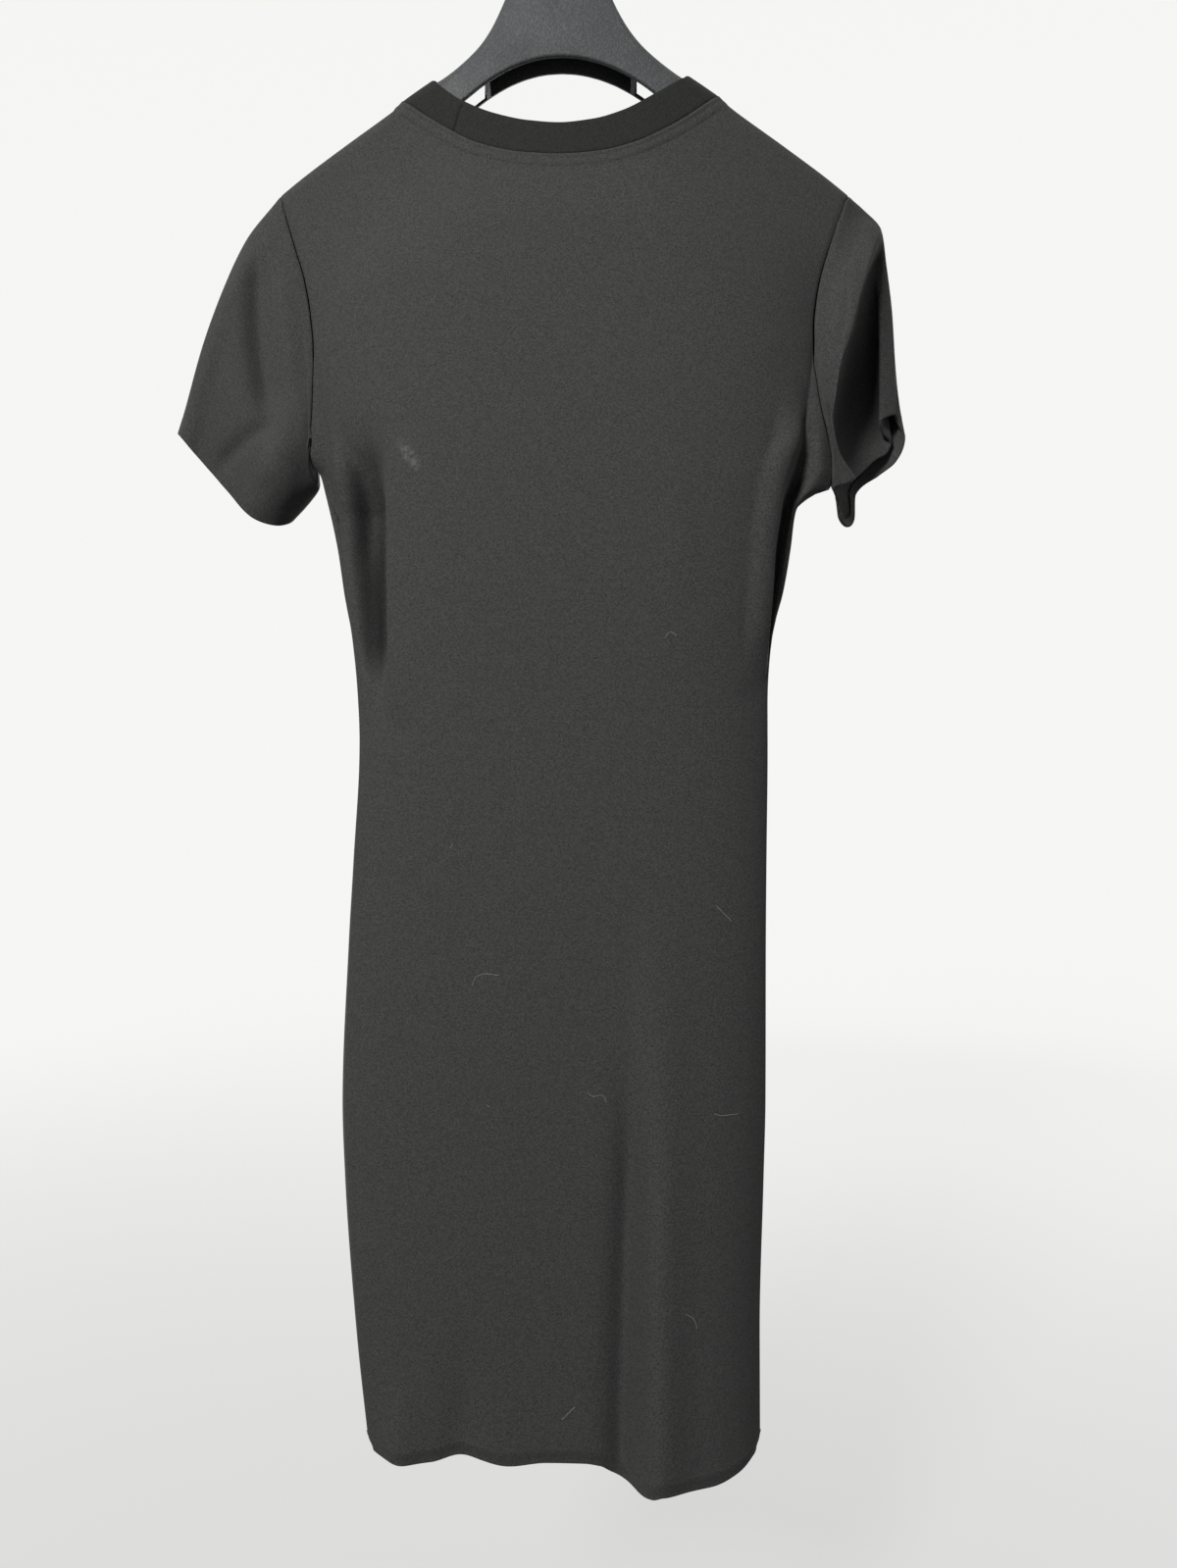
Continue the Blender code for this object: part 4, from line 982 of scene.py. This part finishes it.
# %% Allowance depths, and the places and relief of the stitches
ALLOWANCE = 5.0
ON_ARM_ALLOWANCE = 0.25
ARMPIT_ALLOWANCE = 1.2
ARM_ROOM_Z = -300.0         # above this the hanger's arm takes the allowance's room
ARM_ROOM_FADE = 40.0
ARMPIT_CLIP = 12.0          # the allowance is clipped this near the armpit
ARMPIT_FADE = 30.0
SIDE_TURN = 16.0            # round the armpit it turns to the middle of the dress
NECK_STITCH = 7.4           # the neck's stitches lie this far below its seam
NECK_RELIEF = (0.85, 0.3)   # how proud the cloth stands, and how deep the stitches pull it
NECK_ROLL = (1.6, 1.1, 0.6)     # a soft ridge by the seam: its distance, width and height
NECK_ROWS = 40              # the neck's relief lies within these rows of a panel
HEM_TURN = 15.0
HEM_STITCH = 11.0
HEM_RELIEF = (0.1, 0.15)
HEM_LEAN = 2.5              # the hem's edge leans this far inward
CUFF_STITCH = CUFF_HEM - 3.0
CAP_PROUD = 0.5             # the allowance lifts the sleeve's cap this much, out to CAP_END
CAP_END = ALLOWANCE + 0.5
CAP_FADE = 3.0
CAP_TOP_Z = -252.0          # and not above here
CAP_TOP_FADE = 25.0
FACING_US = (0.05, 0.4)     # creases lie where a sleeve faces us this much, and fade in over this


def armhole_depth(edge, armpit_z):
    """Depth of an armhole's allowance: clipped at the armpit, shallow over the arm."""
    depth = mix(ALLOWANCE, ON_ARM_ALLOWANCE, ease((edge[:, 2] - ARM_ROOM_Z) / ARM_ROOM_FADE))
    away = abs(edge[:, 2] - armpit_z)
    return mix(ARMPIT_ALLOWANCE, depth, ease((away - ARMPIT_CLIP) / ARMPIT_FADE))


# %% Back and front
def sew_panel(name, net, neck_columns, outward, material):
    """A panel with its neck strip, its hem and its rolled seams; returns the piece and its net."""
    normals = normals_of(net, outward)
    height = np.zeros(net.shape[:2])
    away = distance_to(net[-NECK_ROWS:], net[-1][neck_columns])
    ridge_at, ridge_width, ridge_height = NECK_ROLL
    height[-NECK_ROWS:] = (stitched_relief(away, NECK_STITCH, *NECK_RELIEF)
                           + ridge_height * np.exp(-((away - ridge_at) / ridge_width) ** 2))
    from_hem = travel_along(net)
    height += (stitched_relief(from_hem, HEM_STITCH, *HEM_RELIEF)
               - HEM_LEAN * (1 - ease(from_hem / HEM_STITCH)))
    net = net + normals * height[..., None]
    cloth = (net, normals)
    for side, column, armpit_z in (("left", 0, LEFT_ARMPIT_Z), ("right", -1, RIGHT_ARMPIT_Z)):
        edge = net[:, column]
        below = ease((armpit_z + SIDE_TURN / 2 - edge[:, 2]) / SIDE_TURN)[:, None]
        middle = np.array([-np.sign(edge[0, 0]), 0, 0])
        toward = unit(mix(-normals[:, column], middle, below))
        cloth = roll_seam(cloth, side, armhole_depth(edge, armpit_z), toward)
    cloth = roll_seam(cloth, "end", ON_ARM_ALLOWANCE)
    cloth = turn_hem(cloth, "start", HEM_TURN)
    made = cloth_object(name, cloth[0], outward, False, CLOTH, material)
    return made, net


back_piece, back_sewn = sew_panel("back_cloth", back_points, back_neck_columns, 1, knit_back)
front_piece, front_sewn = sew_panel("front_cloth", front_points, front_neck_columns, -1, knit)


# %% Sleeves
def sew_sleeve(name, net, outward, creases):
    """A sleeve with its cap's relief, its creases, its cuff's hem and its rolled armhole seam."""
    normals = normals_of(net, outward, closed=True)
    height = stitched_relief(travel_from(net, from_end=True), CUFF_STITCH, *HEM_RELIEF)
    near_cap = 1 - ease((travel_along(net) - CAP_END) / CAP_FADE)
    height += CAP_PROUD * near_cap * ease((CAP_TOP_Z - net[..., 2]) / CAP_TOP_FADE)
    toward_us = ease((-normals[..., 1] - FACING_US[0]) / FACING_US[1])
    height -= toward_us * sum(crease_push(net[..., 0], net[..., 2], crease) for crease in creases)
    net = net + normals * height[..., None]
    armpit_z = net[0, :, 2].min()
    cloth = roll_seam((net, normals), "start", armhole_depth(net[0], armpit_z))
    cloth = turn_hem(cloth, "end", CUFF_HEM)
    return cloth_object(name, cloth[0], outward, True, CLOTH, knit), net


left_piece, left_sewn = sew_sleeve("sleeve_left_cloth", left_points, -1, LEFT_SLEEVE_CREASES)
right_piece, right_sewn = sew_sleeve("sleeve_right_cloth", right_points, 1, RIGHT_SLEEVE_CREASES)

# %% [markdown]
# ## The neckband
#
# The band is one strip folded along its length, so its free edge is a soft fold and both its
# raw edges are in the neck seam. Its net runs up the outside, over the fold and down the
# inside. The two ends of the strip meet in a short seam near the left shoulder.

# %% Rows of the band
BAND_ACROSS = np.linspace(0.02, 1, 16)
UNDER_MM = np.array([0.6, 1.6, 3.0, 4.5, 6.0])      # the allowance, pressed behind the panel
JOIN_START, JOIN_END = -86, -62     # columns lie closest here, where the strip's ends meet
TURN_COLUMNS = 24
FRONT_COLUMNS = 90


def lifted(x, angle):
    """Point over the arm, raised off the panel's surface."""
    raised = np.stack(np.broadcast_arrays(0 * x, -np.sin(angle), np.cos(angle)), axis=-1)
    return on_arm(x, angle) + BAND_PROUD * raised


def band_row(across):
    """One closed row of the band: 0 is its seam, 1 its free edge, below 0 its allowance."""
    reach = mix(NECK_HALF, BAND_TIP_HALF, across)
    x = np.concatenate([np.linspace(NECK_X - NECK_HALF, JOIN_START, 22),
                        np.linspace(JOIN_START, JOIN_END, 62)[1:],
                        np.linspace(JOIN_END, NECK_X + NECK_HALF, 122)[1:]])
    px = mix(x, BACK_NECK.at("edge_x", x), across)
    pz = mix(BACK_NECK.at("z", x), BACK_NECK.at("edge_z", x), across)
    back = np.stack([px, panel_depth(px, pz, "back") - BAND_PROUD, pz], axis=-1)
    back[0], back[-1] = lifted(NECK_X - reach, SHOULDER_SEAM), lifted(NECK_X + reach, SHOULDER_SEAM)
    turn = np.linspace(0, 1, TURN_COLUMNS + 1)[1:]
    angle = mix(SHOULDER_SEAM, -math.pi / 2, turn)
    right = lifted(NECK_X + reach - NECK_TURN * turn, angle)
    left = lifted(NECK_X - reach + NECK_TURN * turn, angle)[::-1]
    theta = np.linspace(0, math.pi, FRONT_COLUMNS + 2)[1:-1]
    seam_x, seam_z = front_neck(theta, inset=False)
    edge_x, edge_z = front_neck(theta, inset=True)
    fx, fz = mix(seam_x, edge_x, across), mix(seam_z, edge_z, across)
    front = np.stack([fx, panel_depth(fx, fz, "front") + BAND_PROUD, fz], axis=-1)
    return np.concatenate([back, right, front, left])


# %% The band's two layers
BAND_LAYER = 0.52           # each layer's middle lies this far from the band's own middle
BAND_WALL = 0.95            # thickness of a pressed layer
TUCK_BACK, TUCK_IN, TUCK_END = 0.15, 0.3, 0.5       # the outer layer's way into its seam
JOIN = (((-70, -194), (-73, -205), (-77.5, -219)), 1.0, 1.0, 1.5, 0.05)
places = np.concatenate([-UNDER_MM[::-1] / BAND_WIDTH, BAND_ACROSS])
rows = np.stack([band_row(across) for across in places])
normals = normals_of(rows, 1, closed=True)
count = len(UNDER_MM)
under, under_normals = rows[:count][::-1], normals[:count][::-1]
band_rows, band_normals = rows[count:], normals[count:]
join = crease_push(band_rows[..., 0], band_rows[..., 2], JOIN) * (band_rows[..., 1] < 0)
outer = band_rows + band_normals * (BAND_LAYER - join)[..., None]
inner = band_rows - band_normals * BAND_LAYER
inside = BAND_PROUD + 1.0
under = under - under_normals * mix(BAND_LAYER, inside, ease(UNDER_MM / UNDER_MM[1]))[:, None, None]
lead = unit(band_rows[-1] - band_rows[-2])
fold = [band_rows[-1] + lead * BAND_LAYER * math.sin(a)
        + band_normals[-1] * BAND_LAYER * math.cos(a) for a in BENDS]
tuck = outer[0] - (band_rows[1] - band_rows[0]) * TUCK_BACK - band_normals[0] * TUCK_IN
tucks = [tuck - band_normals[0] * TUCK_END, tuck]
band_net = np.concatenate([tucks, outer, fold, inner[::-1], under])
band_piece = cloth_object("neckband_cloth", band_net, 1, True, BAND_WALL, band_knit)
print("band net", band_net.shape)

# %% [markdown]
# ## Stitches
#
# A machine stitch is a short length of thread that dips into the cloth at both ends. One
# Geometry Nodes tree lays them along any line: the line is resampled to the stitch's pitch,
# and on each point goes a small capsule turned along the line.

# %% The stitch tree
STITCH_SIZES = {"Pitch": 3.0, "Stitch length": 2.3, "Thread radius": 0.2}


def stitch_tree():
    tree = bpy.data.node_groups.new("Stitches", "GeometryNodeTree")
    sockets = tree.interface
    sockets.new_socket("Line", in_out="INPUT", socket_type="NodeSocketGeometry")
    for label, size in STITCH_SIZES.items():
        socket = sockets.new_socket(label, in_out="INPUT", socket_type="NodeSocketFloat")
        socket.default_value = size * MM
    sockets.new_socket("Thread", in_out="INPUT", socket_type="NodeSocketMaterial")
    sockets.new_socket("Stitches", in_out="OUTPUT", socket_type="NodeSocketGeometry")
    given = node(tree, "NodeGroupInput").outputs
    to_curve = node(tree, "GeometryNodeMeshToCurve", inputs={"Mesh": given["Line"]})
    points = node(tree, "GeometryNodeCurveToPoints", {"mode": "LENGTH"}, {
        "Curve": to_curve.outputs[0], "Length": given["Pitch"]})
    profile = node(tree, "GeometryNodeMeshCylinder", {"fill_type": "TRIANGLE_FAN"}, {
        "Vertices": 6, "Side Segments": 3, "Radius": given["Thread radius"],
        "Depth": given["Stitch length"]})
    turned = node(tree, "FunctionNodeAlignRotationToVector", {"axis": "Z"}, {
        "Vector": points.outputs["Tangent"]})
    placed = node(tree, "GeometryNodeInstanceOnPoints", inputs={
        "Points": points.outputs["Points"], "Instance": profile.outputs["Mesh"],
        "Rotation": turned.outputs[0]})
    real = node(tree, "GeometryNodeRealizeInstances", inputs={"Geometry": placed.outputs[0]})
    coloured = node(tree, "GeometryNodeSetMaterial", inputs={
        "Geometry": real.outputs[0], "Material": given["Thread"]})
    node(tree, "NodeGroupOutput", inputs={"Stitches": coloured.outputs[0]})
    return tree


STITCHES = stitch_tree()


def lay_stitches(name, lines):
    """Stitches along lines of points; each line is (points, closed)."""
    verts, edges = [], []
    for points, closed in lines:
        first = len(verts)
        verts += [tuple(p * MM) for p in points]
        edges += [(first + k, first + k + 1) for k in range(len(points) - 1)]
        if closed:
            edges.append((len(verts) - 1, first))
    mesh = bpy.data.meshes.new(name)
    mesh.from_pydata(verts, edges, [])
    line = add_object(name + "_line", mesh)
    modifier = line.modifiers.new("stitches", "NODES")
    modifier.node_group = STITCHES
    inputs = {item.name: item.identifier for item in STITCHES.interface.items_tree
              if item.in_out == "INPUT"}
    for label, size in STITCH_SIZES.items():
        modifier[inputs[label]] = size * MM
    modifier[inputs["Thread"]] = thread
    result = settled_mesh(line)
    bpy.data.objects.remove(line)
    result.shade_smooth()
    print(name, len(result.polygons), "faces")
    return add_object(name, result)


# %% Where the stitches run
LIFT = CLOTH / 2 - 0.02     # the thread's middle lies this far off the middle of the cloth


def stitch_line(distance, far, net, normals, columns, closed=False):
    """Points at one distance along some columns of cloth, lifted off it."""
    points = []
    for k in columns:
        place, normal = (by_axis(lambda values: np.interp(distance, far[:, k], values), rows[:, k])
                         for rows in (net, normals))
        points.append(place + LIFT * unit(normal))
    return points, closed


def edge_line(net, outward, distance, cuff=False):
    """Where stitches run above the hem of a panel, or round the cuff of a sleeve."""
    normals = normals_of(net, outward, closed=cuff)
    if cuff:
        net, normals = net[::-1], normals[::-1]
    return stitch_line(distance, travel_along(net), net, normals, range(net.shape[1]), cuff)


def neck_line(net, outward, neck_columns):
    """Where stitches run below the neck seam of a panel."""
    top = net[-NECK_ROWS:][::-1]
    far = distance_to(top, net[-1][neck_columns])
    normals = normals_of(net, outward)[-NECK_ROWS:][::-1]
    columns = [k for k in np.flatnonzero(neck_columns)[::2] if far[-1, k] >= NECK_STITCH]
    return stitch_line(NECK_STITCH, far, top, normals, columns)


hem_stitches = lay_stitches("hem_stitches", [
    edge_line(back_sewn, 1, HEM_STITCH), edge_line(front_sewn, -1, HEM_STITCH)])
cuff_stitches = lay_stitches("cuff_stitches", [
    edge_line(left_sewn, -1, CUFF_STITCH, cuff=True),
    edge_line(right_sewn, 1, CUFF_STITCH, cuff=True)])
neck_stitches = lay_stitches("neck_stitches", [
    neck_line(back_sewn, 1, back_neck_columns), neck_line(front_sewn, -1, front_neck_columns)])

# %% [markdown]
# ## The hanger
#
# A broad suit hanger is moulded as a thick outer skin, hollow beneath, with a thin rail at its
# far side and cross ribs that stiffen it. A loft through sections gives the outer form. The
# hollow and the windows above the rail are cut with Boolean modifiers, which are applied, so
# the piece is one plain mesh.

# %% Sections of the hanger
HANGER = Table("x top low", (
    (0, -60, -160.3), (9, -62, -160.8), (16, -68, -161.8), (22, -78, -163.2), (27, -90, -164.6),
    (32, -103, -166.4), (36.2, -114, -168), (41.3, -125, -170.4), (47.5, -136, -173.7),
    (56, -147, -178.9), (68.3, -158, -187.9), (82.6, -167.8, -198), (91, -172.1, -203),
    (112, -184.6, -215), (154, -209.6, -235), (186, -227.8, -247), (203, -238.1, -256)))
MOULDED_TO = 91.0           # past this station the hanger's top follows the cloth above it
ARM_NOSE = 186.0            # from here out the arm rounds off to its tip
TIP_ROOM = 0.4
HANGER_LEAN = -3.5          # the neck of the hanger leans this far to the left
LEAN_FROM_Z, LEAN_RISE = -190.0, 75.0
NECK_TOP_Z = -60.0
ROUND_SHARE = 0.6           # at most this share of a section's height is rounded on top
CORNER = 2.0                # radius of the lower edges
CUTTER_PAST = 3.0           # a cutter reaches this far past what it cuts
CHANNEL_HALF = 8.6
CHANNEL_CORNER = 3.0
RAIL_HEIGHT = 2.4
WINDOW_TOP = 14.0


def arm_section(x):
    """Section of the hanger at a station, with a round top and soft lower edges."""
    moulded = abs(x) <= MOULDED_TO
    top = HANGER.at("top", abs(x)) if moulded else ridge_z(x) - WRAP + ARM_HALF_DEPTH
    low = HANGER.at("low", abs(x))
    rise = min(ARM_HALF_DEPTH, ROUND_SHARE * (top - low))
    outline = [(ARM_HALF_DEPTH * math.cos(a), top - rise + rise * math.sin(a))
               for a in np.linspace(0, math.pi, 29)]
    for corner, start in ((-1, 180), (1, 270)):
        for angle in np.radians(np.linspace(start, start + 90, 6)):
            outline.append((corner * (ARM_HALF_DEPTH - CORNER) + CORNER * math.cos(angle),
                            low + CORNER + CORNER * math.sin(angle)))
    dy, z = np.array(outline, float).T
    nose = math.sqrt(1 - max(0, (abs(x) - ARM_NOSE) / (TIP_X + TIP_ROOM - ARM_NOSE)) ** 2)
    leaning = x + HANGER_LEAN * ease((z - LEAN_FROM_Z) / LEAN_RISE)
    return np.stack([leaning, arm_y(x) + dy * nose, mix((top + low) / 2, z, nose)], axis=-1)


def outward_object(name, builder, mesh, material):
    """Turn the faces being built outward, and make the object."""
    bmesh.ops.recalc_face_normals(builder, faces=builder.faces)
    builder.to_mesh(mesh)
    builder.free()
    mesh.materials.append(material)
    return add_object(name, mesh)


def solid_loft(name, sections, material):
    """A closed solid through sections of equal point count."""
    verts = np.concatenate(sections) * MM
    rings = np.arange(len(verts)).reshape(len(sections), -1)
    beside = np.roll(rings, -1, axis=1)
    quads = np.stack([rings[:-1], beside[:-1], beside[1:], rings[1:]], axis=-1).reshape(-1, 4)
    mesh = bpy.data.meshes.new(name)
    mesh.from_pydata(verts.tolist(), [], quads.tolist() + [rings[0].tolist(), rings[-1].tolist()])
    builder = bmesh.new()
    builder.from_mesh(mesh)
    return outward_object(name, builder, mesh, material)


def hollow_section(x, window):
    """Section of a cutter: the hollow beneath an arm, or the window above its far rail."""
    low = HANGER.at("low", abs(x))
    past, half, slope = ARM_HALF_DEPTH + CUTTER_PAST, CHANNEL_HALF, CHANNEL_CORNER
    if window:
        outline = ((0, RAIL_HEIGHT), (past, RAIL_HEIGHT), (past, WINDOW_TOP), (0, WINDOW_TOP - 0.5))
    else:
        outline = ((-half, -CUTTER_PAST), (half, -CUTTER_PAST), (half, WINDOW_TOP - slope),
                   (half - slope, WINDOW_TOP), (slope - half, WINDOW_TOP),
                   (-half, WINDOW_TOP - slope))
    return np.array([(x, arm_y(x) + dy, low + dz) for dy, dz in outline])


# %% Loft and hollow
HOLLOWS = (
    # from  to  window
    (-152, -54.5, False), (-51.5, 46.5, False), (49.5, 152, False),
    (-148, -56, True), (51, 148, True))


def make_hanger():
    near = np.linspace(-60, 60, 49)
    far = np.linspace(60, ARM_NOSE, 32)[1:]
    nose = TIP_X - (TIP_X - ARM_NOSE) * np.cos(np.linspace(0, math.pi / 2, 12))[1:]
    right = np.concatenate([far, nose])
    stations = np.concatenate([-right[::-1], near, right])
    body = solid_loft("hanger_plastic", [arm_section(x) for x in stations], plastic)
    cutters = []
    for start, end, window in HOLLOWS:
        sections = [hollow_section(x, window) for x in np.linspace(start, end, 26)]
        cutters.append(solid_loft("cutter", sections, plastic))
        body.modifiers.new("cut", "BOOLEAN").object = cutters[-1]
    mesh = settled_mesh(body)
    body.modifiers.clear()
    body.data = mesh
    for cutter in cutters:
        bpy.data.objects.remove(cutter)
    mesh.shade_smooth()
    mesh.set_sharp_from_angle(angle=math.radians(38))
    print("hanger", len(mesh.polygons), "faces")
    return body


hanger_piece = make_hanger()

# %% [markdown]
# ## The hook
#
# Plated steel wire, bent round a mandrel and pushed into the plastic while it was hot. A poly
# curve with a round bevel is the plain way to draw wire.

# %% Wire along its route
HOOK_RADIUS = 19.0          # inside radius of the loop
HOOK_WIRE = 4.0
HOOK_TURN = (-35, 225)      # degrees, from its tip over the top to the stem
STEM_Z = -53.0              # the wire has come round over the hanger's neck by here
STEM_SUNK = 6.0


def round_wire(name, routes, radius, resolution, material):
    """Round wires along routes of points."""
    curve = bpy.data.curves.new(name, "CURVE")
    curve.dimensions = "3D"
    curve.bevel_depth = radius * MM
    curve.bevel_resolution = resolution
    curve.use_fill_caps = True
    for route in routes:
        spline = curve.splines.new("POLY")
        spline.points.add(len(route) - 1)
        for point, place in zip(spline.points, route):
            point.co = (*(value * MM for value in place), 1)
    curve.materials.append(material)
    return add_object(name, curve)


def make_hook():
    radius = HOOK_RADIUS + HOOK_WIRE / 2
    turn = [math.radians(a) for a in np.linspace(*HOOK_TURN, 61)]
    route = [(radius * math.cos(a), 0, -HOOK_RADIUS + radius * math.sin(a)) for a in turn]
    bend_x, _, bend_z = route[-1]
    for t in np.linspace(0, 1, 13)[1:]:
        route.append((mix(bend_x, HANGER_LEAN, float(ease(t))), 0, mix(bend_z, STEM_Z, t)))
    route.append((HANGER_LEAN, 0, NECK_TOP_Z - STEM_SUNK))
    return round_wire("hook_wire", [route], HOOK_WIRE / 2, 6, chrome)


hook_piece = make_hook()

# %% [markdown]
# ## Lint
#
# Dark knit always carries a few pale hairs and specks. Each is a bent thread thinner than a
# thread of the cloth, laid just on the surface of the back.

# %% Hairs and specks
HAIR_RADIUS = 0.13
HAIR_LIFT = 0.12
HAIRS = (
    # points of (x, z)
    ((-61, -795), (-58, -789), (-51, -787), (-43, -788)),
    ((68, -562), (72, -558), (76, -560)),
    ((103, -742), (108, -747), (114, -753)),
    ((16, -866), (20, -869), (26, -868), (29, -873)),
    ((101, -881), (108, -883), (118, -883)),
    ((81, -1010), (87, -1015), (89, -1021)),
    ((-1, -1088), (3, -1084), (8, -1079)),
    ((-74, -700), (-75.5, -703)),
    ((-51, -875), (-49, -876.5)),
)


def make_hairs():
    routes = []
    for hair in HAIRS:
        x, z = along_route(hair, 16).T
        y = panel_depth(x, z, "back") - CLOTH / 2 - HAIR_LIFT
        routes.append(np.stack([x, y, z], axis=-1))
    fibre = new_material("Lint, undyed fibre", Roughness=0.8, Base_Color=linear("8e8c88"))[0]
    return round_wire("lint", routes, HAIR_RADIUS, 1, fibre)


lint_piece = make_hairs()

# %% [markdown]
# ## Fastening everything to the frame
#
# Nothing here moves, so every piece rides on the one body. Each cloth, and each piece of the
# hanger, hides the solid it stands for.


def closed_net(net):
    return np.concatenate([net, net[:, :1]], axis=1)


CLOTHS = (
    (back_piece, "back_panel", "knit", back_sewn, [hem_stitches, neck_stitches, lint_piece]),
    (front_piece, "front_panel", "knit", front_sewn, []),
    (left_piece, "sleeve_left", "knit", closed_net(left_sewn), [cuff_stitches]),
    (right_piece, "sleeve_right", "knit", closed_net(right_sewn), []),
    (band_piece, "neckband", "band", closed_net(band_net), []),
)
for piece, replaced, finish, net, with_pieces in CLOTHS:
    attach(piece, "root")
    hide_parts(replaced)
    for extra in with_pieces:
        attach(extra, "root")
for piece, replaced, finish in ((hanger_piece, "hanger_body", "plastic"),
                                (hook_piece, "hanger_hook", "hook")):
    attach(piece, "root")
    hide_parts(replaced)

# %% [markdown]
# ## Floor, light and camera
#
# A pale floor sweeps up all round into a closed cove, like a studio's. The cove glows faintly
# by itself and takes no part in lighting the dress, so a lamp in front can model the dark
# cloth: what faces it is light, and what turns away falls into deep shade.

# %% The cove
FLOOR_Z = -1.42


def make_cove():
    """A round floor that sweeps up into a wall, closed overhead."""
    radius, sweep, top = 3.2, 1.6, 3.4
    corner = np.linspace(0, math.pi / 2, 16)
    profile = [(0.0, FLOOR_Z), (radius * 0.5, FLOOR_Z)]
    profile += [(radius + sweep * math.sin(a), FLOOR_Z + sweep * (1 - math.cos(a)))
                for a in corner]
    profile += [(radius + sweep * math.cos(a), top + sweep * math.sin(a)) for a in corner]
    profile.append((0.0, top + sweep))
    builder = bmesh.new()
    verts = [builder.verts.new((r, 0, z)) for r, z in profile]
    edges = [builder.edges.new(pair) for pair in zip(verts, verts[1:])]
    bmesh.ops.spin(builder, geom=verts + edges, cent=(0, 0, 0), axis=(0, 0, 1),
                   angle=2 * math.pi, steps=72)
    bmesh.ops.remove_doubles(builder, verts=builder.verts, dist=0.0005)
    made = outward_object("cove", builder, bpy.data.meshes.new("cove"), cove_emission_painted_shadow())
    made.data.shade_smooth()
    made.visible_shadow = False
    made.visible_diffuse = False
    return made


def cove_emission_painted_shadow():
    """The cove glowing by itself, with a painted shadow: dimmer on the floor below the dress."""
    made, tree, shader = new_material(
        "White cove, glowing, with painted shadow under the dress", Roughness=1.0, Specular_IOR_Level=0.0,
        Base_Color=(0.12, 0.12, 0.12, 1), Emission_Color=(1.0, 1.0, 0.992, 1))
    place = node(tree, "ShaderNodeTexCoord").outputs["Object"]
    below = node(tree, "ShaderNodeVectorMath", {"operation": "SUBTRACT"}, {
        0: place, 1: (0, 0, FLOOR_Z)})
    far = node(tree, "ShaderNodeVectorMath", {"operation": "LENGTH"}, {0: below.outputs[0]})
    # painted shadow: the cove's emission is dimmer on the floor near the middle, below the dress
    emission_with_painted_shadow = node(tree, "ShaderNodeMapRange", {"interpolation_type": "SMOOTHSTEP"}, {
        "Value": far.outputs["Value"], "From Min": 0.1, "From Max": 3.4,
        "To Min": 0.6, "To Max": 0.89})
    tree.links.new(emission_with_painted_shadow.outputs[0], shader.inputs["Emission Strength"])
    return made


make_cove()

# %% Lights
EVEN_LIGHT = 0.07           # strength of the light that comes from everywhere


def soft_light(name, place, aim, size, power):
    lamp = bpy.data.lights.new(name, "AREA")
    lamp.size = size
    lamp.energy = power
    made = add_object(name, lamp)
    made.location = place
    made.rotation_euler = (Vector(aim) - Vector(place)).to_track_quat("-Z", "Y").to_euler()
    made.visible_camera = False


soft_light("key", (-1.2, -2.6, 1.0), (0, 0, -0.55), 0.6, 116)
soft_light("behind", (0.6, 1.8, 0.2), (0, 0, -0.6), 1.2, 36)
world = bpy.data.worlds.new("even light")
bpy.context.scene.world = world
world.use_nodes = True
background = world.node_tree.nodes["Background"]
background.inputs["Color"].default_value = (1.0, 1.0, 1.0, 1)
background.inputs["Strength"].default_value = EVEN_LIGHT

# %% Camera
lens = bpy.data.cameras.new("view")
lens.sensor_fit = "VERTICAL"
lens.sensor_height = 36
lens.lens = 27
camera = add_object("view", lens)
camera.location = (0.017, -0.82, -0.66)
camera.rotation_euler = (math.radians(90), 0, 0)
bpy.context.scene.camera = camera
bpy.context.scene.view_settings.view_transform = "Standard"
